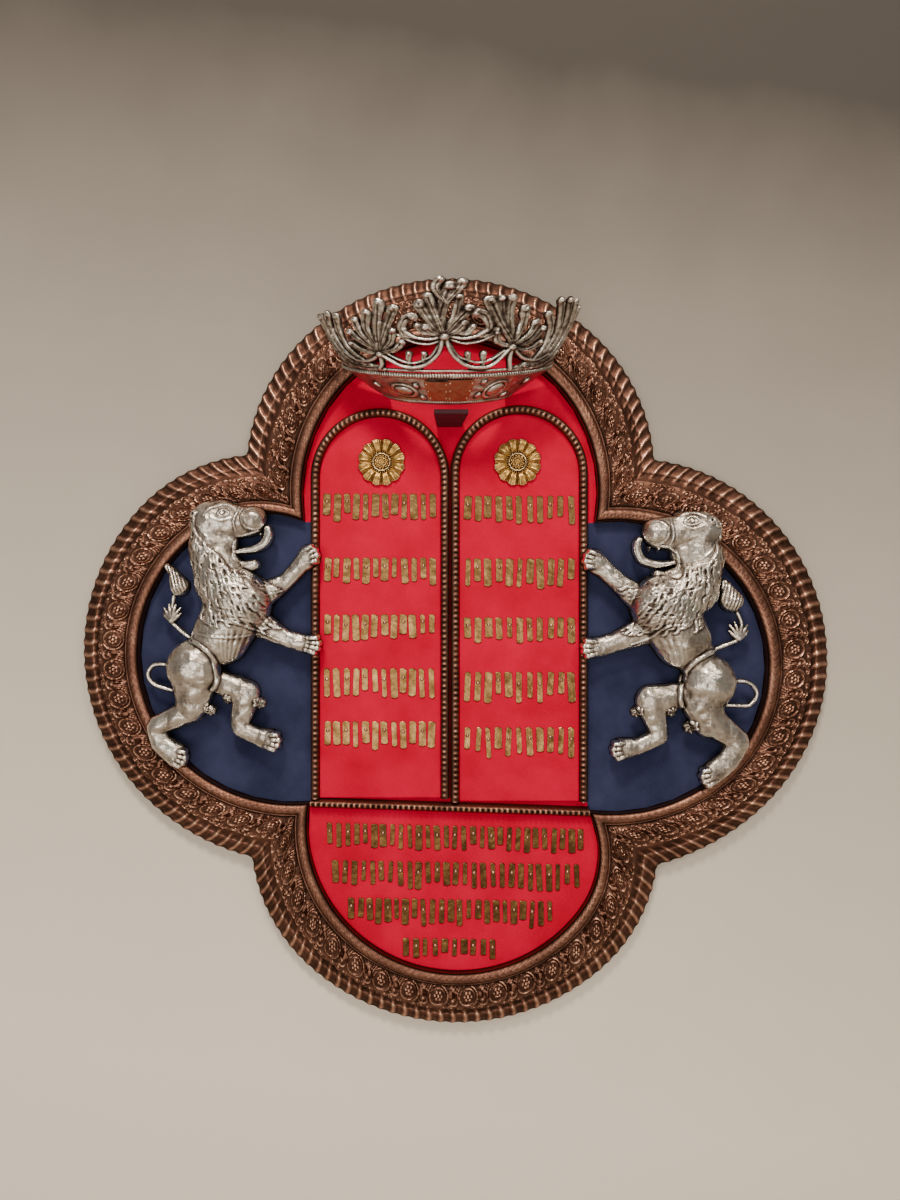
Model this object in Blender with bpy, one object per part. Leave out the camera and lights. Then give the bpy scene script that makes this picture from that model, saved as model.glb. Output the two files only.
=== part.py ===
"""A quatrefoil wall plaque of the Two Tablets, with a crown and two lions.

A wooden board in four lobes carries an embossed copper frame. Inside it lie a red centre panel
and two blue side panels. Two arched red tablets with beaded copper trims stand on the centre
panel, over a red foot panel. Two silver lions in half relief rest on the frame and reach for
the tablets, and a silver half crown leans out over them.

Sizes are in millimetres until a mesh is made. x runs to the right and z up, both from the
centre of the board's back, and depth is the distance off the wall, so y = -depth.
"""
import math

import bmesh
import bpy
import numpy as np
from mathutils import Matrix, Vector

MM = 0.001
GAP = 0.3                       # between pieces that touch

# Depths of the layers
BOARD_FRONT = 12.0
PANEL_FRONT = 18.0
FOOT_FRONT = 21.0
TABLET_FRONT = 24.0
FRAME_FRONT = 34.0              # the highest mouldings: the lions lie on these
LION_BACK = FRAME_FRONT + GAP

# The frame: each lobe's outer and inner arc as centre x, centre z and radius, and the
# mitres between lobes as outer cusp and inner corner
LOBES = [
    dict(name="top", outer=(-7.6, 221.5, 288.6), inner=(-7.4, 226.4, 196.8), ends=("tl", "tr")),
    dict(name="right", outer=(231.0, -10.0, 277.2), inner=(227.4, -20.2, 194.0), ends=("tr", "br")),
    dict(name="bottom", outer=(1.2, -205.9, 302.1), inner=(2.5, -228.5, 206.0), ends=("br", "bl")),
    dict(name="left", outer=(-224.3, 2.3, 284.9), inner=(-228.9, -2.4, 200.7), ends=("bl", "tl")),
]
MITRES = dict(
    tl=((-285.9, 268.6), (-205.5, 177.0)),
    tr=((271.1, 261.8), (188.0, 175.7)),
    br=((275.2, -292.4), (181.2, -216.5)),
    bl=((-279.0, -281.5), (-198.8, -204.3)),
)
MITRE_PULL = 0.22               # share of a lobe over which its arc is drawn to the mitre
FLUTE_PITCH = 16.8              # crimps along the rim
SCROLL_PITCH = 40.0             # scrolls along the embossed band
BOARD_INSET = 12.0              # the rim stands out past the board by this

# The frame's section: share of the way in from the rim, and depth
RIM_RIDGE = (-0.008, 18.5)
RIM_VALLEY = (0.012, 15.2)
SECTION_ON_SCROLL = [(0.23, 18.5), (0.40, 25.5), (0.57, 33.5), (0.77, 26.0), (0.88, 34.0), (0.99, 30.5)]
SECTION_BETWEEN = [(0.23, 18.5), (0.39, 23.5), (0.57, 28.0), (0.77, 26.0), (0.88, 34.0), (0.99, 30.5)]
SECTION_UNDER = [(1.0, BOARD_FRONT + GAP), (0.12, BOARD_FRONT + GAP)]

# The two tablets: sides, foot, arch centre height and outer arch radius
TABLETS = dict(
    left=dict(x=(-197.0, -8.6), foot=-198.5, spring=236.0),
    right=dict(x=(-7.6, 179.0), foot=-203.0, spring=241.0),
)
TRIM_WIDTH = 12.5
TRIM_STEPS = 4                  # facets over the half round
FOOT_BAR = dict(left=(-196.6, -198.0), right=(180.4, -210.5), width=12.5)

# Rows of strokes: tablet rows as height of the middle, and foot rows with their ends
STROKE_ROWS = [200.0, 114.0, 38.0, -40.0, -113.0]
STROKE_TALL = 36.0
STROKES_IN_ROW = 4
FOOT_ROWS = [(-178.0, 176.0, -246.0, 6), (-168.0, 176.0, -299.0, 6),
             (-150.0, 134.0, -348.0, 5), (-82.0, 56.0, -404.0, 3)]
FOOT_STROKE_TALL = 30.0
STROKE_RISE = 1.6

ROSETTES = dict(left=(-100.9, 257.0), right=(83.4, 257.0))
ROSETTE_RADIUS = 32.5
ROSETTE_PETALS = 10

# The lions: each limb as steps of x towards the tablets, z and radius, from the hip
LION_RELIEF = 0.82              # how far a limb stands out for each unit of its radius
LIONS = dict(
    left=dict(
        hip=(-350.5, -20.0), faces=1,
        body=dict(
            hip=[(0, 0, 38.5)], thigh=[(-1, -29, 29), (-3, -46, 24)],
            waist=[(60, 86, 44), (36, 42, 40), (19, 24, 26)], neck=[(20, 159, 29), (38, 114, 38)],
            chest=[(38, 114, 38), (60, 86, 45)], skull=[(23, 193, 31), (36, 197, 28)],
            cheek=[(22, 168, 29), (38, 166, 22)], muzzle=[(50, 195, 24), (74, 195, 20.5)],
            brow=[(30, 212, 10), (46, 213, 9)], nose=[(78, 200, 18)],
            jaw=[(44, 146, 13), (66, 137, 9.5), (79, 141, 8.5)], ear=[(-2, 206, 8), (2, 194, 9)],
            shank=[(-5, -58, 17), (-48, -77, 14)], foot=[(-52, -82, 13.5), (-45, -102, 14.5), (-23, -119, 17)],
            far_thigh=[(30, -18, 16), (69, -35, 20)], far_shank=[(68, -45, 18.5), (61, -73, 14)],
            far_foot=[(61, -82, 12), (84, -93, 12.5), (102, -98, 16)],
            upper_arm=[(86, 93, 20), (122, 115, 11.5), (140, 135, 12), (153, 149, 16.5)],
            lower_arm=[(84, 60, 20), (122, 39, 12.5), (144, 32, 13), (155, 31, 14)],
        ),
        tongue=[(50, 152, 4), (76, 158, 5), (92, 164, 6.5), (101, 174, 6.5), (100, 184, 5.5)],
        paws=[(153, 149, 25), (155, 31, -10), (-23, -119, -25), (102, -98, -20)],
        tufts=[(23, -62, 8), (94, -50, 8), (44, -46, 7)],
        tail=[(27, -29, 3.5), (34, -13, 3.5), (29, 15, 3.5), (15, 29, 3.5), (-9, 41, 3.5), (-31, 60, 3.5)],
        flower=[(-31, 65, 10)], stem=[(-31, 65, 3), (-29, 92, 3), (-24, 106, 3)],
        bulb=[(-20, 109, 14.5), (-29, 127, 7), (-37, 135, 4.5)],
        ring=[(-30, 1, 3.2), (-54, 5, 3.2), (-63, -7, 3.2), (-58, -20, 3.2), (-45, -27, 3.2), (-22, -33, 3.2)],
    ),
    right=dict(
        hip=(339.6, -39.9), faces=-1,
        body=dict(
            hip=[(0, 0, 37)], thigh=[(8, -31, 29), (0, -52, 24)],
            waist=[(62, 101, 44), (37, 57, 40), (20, 36, 29)], neck=[(8, 166, 29), (24, 126, 37)],
            chest=[(24, 126, 37), (62, 101, 45)], skull=[(11, 201, 29), (28, 203, 26)],
            cheek=[(14, 176, 28), (32, 172, 22)], muzzle=[(44, 200, 24), (67, 199, 22)],
            brow=[(20, 219, 10), (36, 220, 9)], nose=[(72, 201, 18)],
            jaw=[(35, 143, 13), (56, 140, 10), (69, 146, 9)], ear=[(-9, 217, 8), (-7, 205, 9)],
            shank=[(-5, -54, 21), (-37, -77, 16)], foot=[(-40, -82, 14.5), (-25, -106, 16), (-1, -125, 16)],
            far_thigh=[(36, -17, 17), (78, -25, 22.5)], far_shank=[(76, -40, 18.5), (68, -64, 13.5)],
            far_foot=[(66, -73, 12), (94, -86, 12), (118, -90, 16)],
            upper_arm=[(88, 106, 20), (122, 134, 13.5), (141, 152, 14), (155, 163, 16.5)],
            lower_arm=[(90, 68, 20), (127, 53, 14), (146, 47, 14.5), (157, 46, 15)],
        ),
        tongue=[(44, 153, 4), (60, 163, 4.5), (76, 167, 5.5), (91, 177, 6.5), (93, 187, 6)],
        paws=[(155, 163, 15), (157, 46, -5), (-1, -125, -25), (118, -90, -25)],
        tufts=[(105, -41, 8), (50, -42, 8), (36, -60, 9.5)],
        tail=[(38, -33, 3.5), (42, -16, 3.5), (32, 20, 3.5), (13, 36, 3.5), (-8, 44, 3.5), (-36, 55, 3.5)],
        flower=[(-40, 61, 12)], stem=[(-40, 61, 3), (-44, 78, 3), (-36, 98, 3)],
        bulb=[(-29, 110, 17), (-23, 126, 9.5), (-20, 133, 6)],
        ring=[(-28, 1, 3.2), (-53, -1, 3.2), (-64, -12, 3.2), (-62, -25, 3.2), (-50, -32, 3.2), (-20, -31, 3.2)],
    ),
)
LOCK_RADIUS = 7.0               # a lock of the mane
LOCK_LENGTH = 17.0
LOCK_SUNK = 3.0                 # its middle lies this far under the mane's surface
LOCK_ROWS = 5
TOE_REACH = 12.0                # from the middle of a paw to a toe
TOE_RADIUS = 7.0
TOE_SPREAD = 42.0               # degrees between toes
LION_VOXEL = 2.4
LION_FACES = 1200               # of the whole body, before its back half is cut away

# The crown: half a ring whose plane tips forward, growing out of a bowl-shaped band
CROWN_X = -12.0
CROWN_DEPTH = PANEL_FRONT + GAP + 0.3
CROWN_Z = 347.0
CROWN_LEAN = math.radians(24.0)
BAND_HEIGHT = 41.5
FOOT_RING = (75.0, 58.0)        # half width and reach at the lower rope
TOP_RING = (137.0, 85.0)        # the same at the upper rope
CREST_FLARE = (0.46, 0.18)      # growth of both for each unit of height above the band
BAND_WALL = 3.0
ROPE_RADIUS = 4.0
CREST_WALL = 5.0
CREST_SEAT = 1.2                # the crest stands this far above the rope it is pinned to
CREST_FOOT = 22.0               # from the crest's base to where its leaves spring
CREST_VOXEL = 1.9
CREST_FACES = 1300
# Fleurons: place round the ring from -1 at the left end to 1 at the right, height and lean
FLEURONS = [(-0.93, 68.0, 0.0), (-0.38, 88.0, 0.06), (0.01, 116.0, 0.02), (0.37, 94.0, -0.12),
            (0.93, 86.0, 0.0)]
FLORETS = [(-0.66, 56.0), (-0.19, 62.0), (0.19, 62.0), (0.65, 56.0)]
# A crest leaf: its heart's share of its height, the degrees from lobe to lobe, and its reach
# at degrees from the tip
LEAF_HEART = 0.36
LEAF_LOBE = 40.0
LEAF_TURN = [0.0, 40.0, 80.0, 120.0, 150.0, 180.0]
LEAF_REACH = [1.0, 0.84, 0.64, 0.52, 0.32, 0.26]
CREST_HALF = 175.0              # half the crest's length when laid flat
BOSSES = [(-0.33, 0.50, 13.0, 6.5), (0.37, 0.52, 11.5, 9.0), (-0.21, 0.68, 4.0, 4.0),
          (0.24, 0.80, 3.6, 3.6), (0.25, 0.36, 3.6, 3.6), (0.62, 0.72, 4.0, 4.0), (-0.55, 0.62, 3.6, 3.6)]
PATCHES = dict(left=(-0.115, 0.56, 24.0, 24.0), right=(0.065, 0.60, 30.0, 27.0))
PATCH_WALL = 1.2
BRACKET = dict(wall=(-26.0, 7.0, 306.0), front=(-29.0, 16.0, 313.0), top=318.5, reach=72.0)


# Scene and materials
for old in list(bpy.data.objects):
    bpy.data.objects.remove(old, do_unlink=True)


def material(name, hex_colour, roughness, metallic):
    """A Principled material from an sRGB hex colour"""
    channels = [int(hex_colour[i:i + 2], 16) / 255 for i in (0, 2, 4)]
    linear = [c / 12.92 if c <= 0.04045 else ((c + 0.055) / 1.055) ** 2.4 for c in channels]
    made = bpy.data.materials.new(name)
    made.use_nodes = True
    shader = made.node_tree.nodes["Principled BSDF"]
    shader.inputs["Base Color"].default_value = (*linear, 1.0)
    shader.inputs["Roughness"].default_value = roughness
    shader.inputs["Metallic"].default_value = metallic
    return made


COPPER = material("embossed_copper", "7a4a34", 0.42, 0.9)
SILVER = material("silver", "b0a594", 0.32, 1.0)
GILT = material("gilt_brass", "c9a050", 0.3, 1.0)
RED_CLOTH = material("red_cloth", "d9183a", 0.9, 0.0)
BLUE_CLOTH = material("blue_cloth", "343852", 0.9, 0.0)
BOARD_WOOD = material("board_wood", "6b5238", 0.7, 0.0)
PATCH_COPPER = material("patch_copper", "b86a4a", 0.4, 0.9)
BRACKET_PAINT = material("bracket_paint", "4a1620", 0.6, 0.0)


# Making objects
def add_object(name, mesh, finish, smooth_under=None):
    """Put a mesh into the scene, smooth across edges flatter than the given angle"""
    mesh.materials.clear()
    mesh.materials.append(finish)
    if smooth_under is not None:
        mesh.shade_smooth()
        mesh.set_sharp_from_angle(angle=math.radians(smooth_under))
    made = bpy.data.objects.new(name, mesh)
    bpy.context.scene.collection.objects.link(made)
    return made


def solid(name, points, faces, finish, smooth_under=None):
    """A closed body from (x, depth, z) points in millimetres, its faces turned outwards"""
    mesh = bpy.data.meshes.new(name)
    placed = [(x * MM, -depth * MM, z * MM) for x, depth, z in points]
    mesh.from_pydata(placed, [], faces)
    body = bmesh.new()
    body.from_mesh(mesh)
    bmesh.ops.recalc_face_normals(body, faces=body.faces)
    body.to_mesh(mesh)
    body.free()
    return add_object(name, mesh, finish, smooth_under)


def plate(name, outline, back, front, finish):
    """A flat board: an outline of (x, z) points between two depths"""
    count = len(outline)
    points = [(x, back, z) for x, z in outline] + [(x, front, z) for x, z in outline]
    faces = [list(range(count)), list(range(2 * count - 1, count - 1, -1))]
    for i in range(count):
        j = (i + 1) % count
        faces.append([i, j, count + j, count + i])
    return solid(name, points, faces, finish)


def cutter(made):
    """Mark an object as a guide that is no part of the plaque"""
    made.hide_render = True
    made.display_type = "WIRE"
    return made


def boolean(target, operand, operation):
    """Join or cut a body with another, exactly"""
    step = target.modifiers.new(operand.name, "BOOLEAN")
    step.operation = operation
    step.object = operand
    step.solver = "EXACT"


def settled_mesh(made):
    """The mesh that an object's modifiers give, as a mesh of its own"""
    view = bpy.context.evaluated_depsgraph_get()
    view.update()
    return bpy.data.meshes.new_from_object(made.evaluated_get(view))


# Outlines of the four lobes
def rail(circle, start, end, count):
    """Points along one lobe, clockwise: its arc, drawn to the mitre at each end"""
    centre = np.array(circle[:2])
    radius = circle[2]
    start, end = np.array(start), np.array(end)
    first = math.atan2(*(start - centre)[::-1])
    last = math.atan2(*(end - centre)[::-1])
    if last > first:
        last -= 2 * math.pi
    share = np.linspace(0.0, 1.0, count + 1)
    angle = first + (last - first) * share
    arc = centre + radius * np.c_[np.cos(angle), np.sin(angle)]
    near_start = np.clip(1 - share / MITRE_PULL, 0, 1)[:, None] ** 2
    near_end = near_start[::-1]
    return arc + (start - arc[0]) * near_start + (end - arc[-1]) * near_end


def lobe_rails(lobe, count):
    """The outer and inner rail of one lobe"""
    start, end = (MITRES[corner] for corner in lobe["ends"])
    return rail(lobe["outer"], start[0], end[0], count), rail(lobe["inner"], start[1], end[1], count)


def lobe_length(lobe, share):
    """Length of one lobe along the line that lies this share of the way in"""
    outer, inner = lobe_rails(lobe, 60)
    line = outer + (inner - outer) * share
    return float(np.linalg.norm(np.diff(line, axis=0), axis=1).sum())


def ring_at(section, counts):
    """One closed ring of (x, depth, z) round the frame. section(i) gives share and depth"""
    ring = []
    for lobe, count in zip(LOBES, counts):
        outer, inner = lobe_rails(lobe, count)
        for i in range(count):
            share, depth = section(i)
            x, z = outer[i] + (inner[i] - outer[i]) * share
            ring.append((x, depth, z))
    return ring


def zip_rings(first, second, first_counts, second_counts):
    """Triangles between two rings of unequal count, matched lobe by lobe"""
    faces = []
    a, b = first, second
    first_total, second_total = sum(first_counts), sum(second_counts)
    for steps_a, steps_b in zip(first_counts, second_counts):
        i = j = 0
        while i < steps_a or j < steps_b:
            at_a, at_b = first + (a - first) % first_total, second + (b - second) % second_total
            if j >= steps_b or (i < steps_a and (i + 0.5) / steps_a <= (j + 0.5) / steps_b):
                following = first + (a + 1 - first) % first_total
                faces.append([at_a, following, at_b])
                a, i = a + 1, i + 1
            else:
                following = second + (b + 1 - second) % second_total
                faces.append([at_a, following, at_b])
                b, j = b + 1, j + 1
    return faces


def copper_frame():
    """The embossed frame: crimped rim, cove, scroll band and inner moulding"""
    flutes = [2 * round(lobe_length(lobe, 0.0) / FLUTE_PITCH) for lobe in LOBES]
    scrolls = [2 * round(lobe_length(lobe, 0.57) / SCROLL_PITCH) for lobe in LOBES]
    rim = ring_at(lambda i: RIM_VALLEY if i % 2 else RIM_RIDGE, flutes)
    rows = [ring_at(lambda i, k=k: (SECTION_ON_SCROLL if i % 2 else SECTION_BETWEEN)[k], scrolls)
            for k in range(len(SECTION_BETWEEN))]
    rows += [ring_at(lambda i, at=at: at, scrolls) for at in SECTION_UNDER]
    points = rim + [point for row in rows for point in row]
    total = sum(scrolls)
    starts = [len(rim) + k * total for k in range(len(rows))]
    faces = zip_rings(0, starts[0], flutes, scrolls)
    for first, second in zip(starts, starts[1:]):
        for i in range(total):
            j = (i + 1) % total
            faces.append([first + i, first + j, second + j, second + i])
    faces += [face[::-1] for face in zip_rings(0, starts[-1], flutes, scrolls)]
    return solid("copper_frame", points, faces, COPPER, smooth_under=35)


# Board and panels
def board_outline():
    """The board's edge: the rim's rail drawn in under it"""
    outline = []
    for lobe in LOBES:
        outer, inner = lobe_rails(lobe, 16)
        inward = inner - outer
        inward /= np.linalg.norm(inward, axis=1)[:, None]
        outline += [tuple(p) for p in (outer + inward * BOARD_INSET)[:-1]]
    return outline


def lobe_edge(name, count=18):
    """A lobe's inner rail, a touch inside the frame"""
    lobe = next(lobe for lobe in LOBES if lobe["name"] == name)
    outer, inner = lobe_rails(lobe, count)
    inward = inner - outer
    inward /= np.linalg.norm(inward, axis=1)[:, None]
    return inner + inward * 2 * GAP


def panels():
    """Red centre panel and the two blue side panels, edge to edge"""
    left_x, right_x = TABLETS["left"]["x"][0], TABLETS["right"]["x"][1]
    back = BOARD_FRONT + GAP
    upper_left, upper_right = lobe_edge("top")[0], lobe_edge("top")[-1]
    lower_right, lower_left = lobe_edge("bottom")[0], lobe_edge("bottom")[-1]
    sides = [(right_x, upper_right[1]), (right_x, lower_right[1])]
    far_sides = [(left_x, lower_left[1]), (left_x, upper_left[1])]
    top_edge = [tuple(p) for p in lobe_edge("top")]
    bottom_edge = [tuple(p) for p in lobe_edge("bottom")]
    plate("centre_panel", top_edge + sides + bottom_edge + far_sides, back, PANEL_FRONT, RED_CLOTH)
    right = [tuple(p) for p in lobe_edge("right")]
    left = [tuple(p) for p in lobe_edge("left")]
    plate("blue_panel_right", right + [(right_x + GAP, right[-1][1]), (right_x + GAP, right[0][1])],
          back, PANEL_FRONT, BLUE_CLOTH)
    plate("blue_panel_left", left + [(left_x - GAP, left[-1][1]), (left_x - GAP, left[0][1])],
          back, PANEL_FRONT, BLUE_CLOTH)


# Tablets, trims, foot panel and strokes
def arch_outline(x_left, x_right, foot, spring, steps=18):
    """An arched tablet's outline, from its left foot over the arch to its right foot"""
    middle, radius = (x_left + x_right) / 2, (x_right - x_left) / 2
    angle = np.linspace(math.pi, 0.0, steps + 1)
    arch = [(middle + radius * math.cos(a), spring + radius * math.sin(a)) for a in angle]
    return [(x_left, foot)] + arch + [(x_right, foot)]


def sweep_half_round(name, path, width, back, front, finish):
    """A half-round strip laid along an open path of (x, z) points"""
    path = np.array(path)
    run = np.gradient(path, axis=0)
    run /= np.linalg.norm(run, axis=1)[:, None]
    across = np.c_[run[:, 1], -run[:, 0]]
    turn = np.linspace(0.0, math.pi, TRIM_STEPS + 1)
    sides, rises = np.cos(turn) * width / 2, np.sin(turn) * (front - back)
    points = []
    for place, side in zip(path, across):
        for offset, rise in zip(sides, rises):
            x, z = place + side * offset
            points.append((x, back + rise, z))
    ring = TRIM_STEPS + 1
    faces = [list(range(ring)), list(range(len(points) - 1, len(points) - ring - 1, -1))]
    for i in range(len(path) - 1):
        for k in range(ring):
            a, b = i * ring + k, i * ring + (k + 1) % ring
            faces.append([a, b, b + ring, a + ring])
    return solid(name, points, faces, finish, smooth_under=50)


def stroke_boxes(name, rows, tall, front):
    """Raised strokes in rows: tall and short bars by turns"""
    body = bmesh.new()
    for x_left, x_right, z, count in rows:
        pitch = (x_right - x_left) / count
        for i in range(count):
            height = tall * (1.0 if i % 2 else 0.62)
            size = (pitch * 0.62 * MM, 2 * STROKE_RISE * MM, height * MM)
            middle = (x_left + pitch * (i + 0.5), -front, z + (tall - height) / 2)
            place = Matrix.Translation(Vector(middle) * MM) @ Matrix.Diagonal((*size, 1))
            bmesh.ops.create_cube(body, size=1.0, matrix=place)
    mesh = bpy.data.meshes.new(name)
    body.to_mesh(mesh)
    body.free()
    return cutter(add_object(name, mesh, GILT))


def tablets():
    """Both tablets with their strokes, arched trims and the bar under them"""
    for side, size in TABLETS.items():
        x_left, x_right = size["x"]
        outline = arch_outline(x_left, x_right, size["foot"], size["spring"])
        tablet = plate(f"tablet_{side}", outline, PANEL_FRONT + GAP, TABLET_FRONT, RED_CLOTH)
        inset = TRIM_WIDTH + 3
        rows = [(x_left + inset, x_right - inset, z, STROKES_IN_ROW) for z in STROKE_ROWS]
        boolean(tablet, stroke_boxes(f"strokes_{side}", rows, STROKE_TALL, TABLET_FRONT), "UNION")
        half = TRIM_WIDTH / 2
        path = arch_outline(x_left + half, x_right - half, size["foot"] + GAP, size["spring"])
        sweep_half_round(f"arch_trim_{side}", path, TRIM_WIDTH, TABLET_FRONT + GAP, FRAME_FRONT, COPPER)


def foot_panel():
    """The red panel in the bottom lobe, with its strokes and the bar along its top"""
    (x_left, z_left), (x_right, z_right) = FOOT_BAR["left"], FOOT_BAR["right"]
    drop = FOOT_BAR["width"] / 2
    bar = [(x_left, z_left - drop - 2 * GAP), (x_right, z_right - drop - 2 * GAP)]
    sweep_half_round("foot_bar", bar, FOOT_BAR["width"], PANEL_FRONT + GAP, FRAME_FRONT, COPPER)
    clear = 2 * drop + 4 * GAP
    edge = lobe_edge("bottom")
    lowest = int(np.argmin(edge[:, 1]))
    top_right, top_left = z_right - clear, z_left - clear
    x_at_right = float(np.interp(-top_right, -edge[:lowest, 1], edge[:lowest, 0])) - GAP
    x_at_left = float(np.interp(top_left, edge[lowest:, 1], edge[lowest:, 0])) + GAP
    arc = [tuple(p) for i, p in enumerate(edge) if p[1] < (top_right if i < lowest else top_left) - 4]
    outline = [(x_at_right, top_right)] + arc + [(x_at_left, top_left)]
    panel = plate("foot_panel", outline, PANEL_FRONT + GAP, FOOT_FRONT, RED_CLOTH)
    boolean(panel, stroke_boxes("strokes_foot", FOOT_ROWS, FOOT_STROKE_TALL, FOOT_FRONT), "UNION")


def rosette(side, centre):
    """A gilt flower: scalloped petals round a beaded ring and a button"""
    petal_steps = 2
    count = ROSETTE_PETALS * petal_steps
    rows = [(1.0, 0.0), (1.0, 1.8), (0.78, 4.6), (0.46, 2.6), (0.34, 6.0), (0.16, 8.4)]
    back = TABLET_FRONT + GAP
    points = []
    for k, (share, rise) in enumerate(rows):
        for i in range(count):
            angle = 2 * math.pi * i / count
            scallop = 1.0 if i % petal_steps else 0.87
            radius = ROSETTE_RADIUS * share * (scallop if k < 3 else 1.0)
            groove = 0.45 if k == 2 and i % petal_steps == 0 else 1.0
            points.append((centre[0] + radius * math.cos(angle), back + rise * groove,
                           centre[1] + radius * math.sin(angle)))
    faces = [list(range(count)), list(range(len(points) - count, len(points)))]
    for k in range(len(rows) - 1):
        for i in range(count):
            a, b = k * count + i, k * count + (i + 1) % count
            faces.append([a, b, b + count, a + count])
    return solid(f"rosette_{side}", points, faces, GILT, smooth_under=40)


# Bodies grown from balls: limbs, locks and leaves
def unit_ball():
    """Points spread over a ball of radius one"""
    ball = bmesh.new()
    bmesh.ops.create_icosphere(ball, subdivisions=2, radius=1.0)
    points = np.array([vertex.co for vertex in ball.verts])
    ball.free()
    return points


BALL = unit_ball()


def add_hull(body, balls):
    """Skin stretched over (centre, radii) balls, added to a body as a closed piece"""
    cloud = np.vstack([np.array(centre) + BALL * np.array(radii) for centre, radii in balls]) * MM
    skin = bmesh.new()
    for point in cloud:
        skin.verts.new(point)
    hull = bmesh.ops.convex_hull(skin, input=skin.verts)
    bmesh.ops.delete(skin, geom=hull["geom_interior"], context="VERTS")
    mesh = bpy.data.meshes.new("skin")
    skin.to_mesh(mesh)
    skin.free()
    body.from_mesh(mesh)
    bpy.data.meshes.remove(mesh)


def add_limb(body, steps, relief=LION_RELIEF, depth=LION_BACK):
    """A limb through (x, z, radius) steps, each pair of steps one skin"""
    pairs = list(zip(steps, steps[1:])) or [(steps[0], steps[0])]
    for pair in pairs:
        add_hull(body, [((x, -depth, z), (r, r * relief, r)) for x, z, r in pair])


def relief_at(limbs, x, z):
    """How far the body stands out at a place: the highest of its limbs there"""
    best = 0.0
    for steps in limbs.values():
        for (xa, za, ra), (xb, zb, rb) in list(zip(steps, steps[1:])) or [(steps[0], steps[0])]:
            run = np.array((xb - xa, zb - za), float)
            length = float(run @ run)
            share = 0.0 if length == 0 else float(np.clip(((x - xa) * run[0] + (z - za) * run[1]) / length, 0, 1))
            radius = ra + (rb - ra) * share
            miss = math.hypot(x - xa - run[0] * share, z - za - run[1] * share)
            if miss < radius:
                best = max(best, LION_RELIEF * math.sqrt(radius ** 2 - miss ** 2))
    return best


def mane_locks(limbs):
    """Curls of the mane: rows of short limbs from the neck down to the chest's edge"""
    (xa, za, ra), _ = limbs["neck"]
    (xc, zc, rc) = limbs["chest"][-1]
    locks = []
    for row in range(LOCK_ROWS):
        share = row / (LOCK_ROWS - 1)
        x, z = xa + (xc - xa) * share, za + (zc - za) * share
        reach = (ra + (rc - ra) * share) * 0.86
        count = 3 + row // 2
        for i in range(count):
            side = (2 * (i + 0.5 * (1 + row % 2) / 1.5) / count - 1) * reach
            along = np.array((x + side * 0.86, z + side * 0.5))
            tip = along + np.array((0.35, -0.94)) * LOCK_LENGTH
            locks.append([(along[0], along[1], LOCK_RADIUS), (tip[0], tip[1], LOCK_RADIUS * 0.75)])
    return locks


def lion(side, pose):
    """One lion in half relief, flat at the back where it lies on the frame and the trims"""
    body = bmesh.new()
    limbs = pose["body"]
    for steps in limbs.values():
        add_limb(body, steps)
    for name in ("tongue", "flower", "stem", "bulb", "ring"):
        add_limb(body, pose[name], relief=1.0)
    for x, z, turn in pose["paws"]:
        for toe in (-1, 0, 1):
            angle = math.radians(turn + toe * TOE_SPREAD)
            tip = (x + TOE_REACH * math.cos(angle), z + TOE_REACH * math.sin(angle), TOE_RADIUS)
            add_limb(body, [tip], relief=1.6)
    for x, z, r in pose["tufts"]:
        add_limb(body, [(x, z, r)], relief=1.4)
    for steps in mane_locks(limbs):
        balls = [((x, LOCK_SUNK - LION_BACK - relief_at(limbs, x, z), z), (r, r, r)) for x, z, r in steps]
        add_hull(body, balls)
    tail = pose["tail"]
    for pair in zip(tail, tail[1:]):
        balls = [((x, -LION_BACK - relief_at(limbs, x, z), z), (r, r, r)) for x, z, r in pair]
        add_hull(body, balls)
    hip_x, hip_z = pose["hip"]
    place = Matrix.Translation((hip_x * MM, 0, hip_z * MM)) @ Matrix.Diagonal((pose["faces"], 1, 1, 1))
    bmesh.ops.transform(body, matrix=place, verts=body.verts)
    bmesh.ops.recalc_face_normals(body, faces=body.faces)
    mesh = bpy.data.meshes.new(f"lion_{side}")
    body.to_mesh(mesh)
    body.free()
    made = add_object(f"lion_{side}", mesh, SILVER)
    fuse = made.modifiers.new("fuse", "REMESH")
    fuse.mode = "VOXEL"
    fuse.voxel_size = LION_VOXEL * MM
    fuse.use_smooth_shade = True
    thin = made.modifiers.new("thin", "DECIMATE")
    thin.ratio = LION_FACES / (2 * len(settled_mesh(made).polygons))
    room = plate(f"front_room_{side}", [(-600, -600), (600, -600), (600, 600), (-600, 600)],
                 LION_BACK, LION_BACK + 200, SILVER)
    boolean(made, cutter(room), "INTERSECT")
    return made


# The crown
def crown_place(place, height, proud):
    """A point of the crown: place round the ring (-1 to 1), height and distance outwards"""
    above = max(height - BAND_HEIGHT, 0.0)
    climb = min(max(height / BAND_HEIGHT, 0.0), 1.0) ** 0.8
    half = FOOT_RING[0] + (TOP_RING[0] - FOOT_RING[0]) * climb + CREST_FLARE[0] * above + proud
    reach = FOOT_RING[1] + (TOP_RING[1] - FOOT_RING[1]) * climb + CREST_FLARE[1] * above + proud
    angle = place * math.pi / 2
    forward, side = reach * math.cos(angle), half * math.sin(angle)
    return (CROWN_X + side,
            CROWN_DEPTH + forward * math.cos(CROWN_LEAN) + height * math.sin(CROWN_LEAN),
            CROWN_Z - forward * math.sin(CROWN_LEAN) + height * math.cos(CROWN_LEAN))


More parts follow.
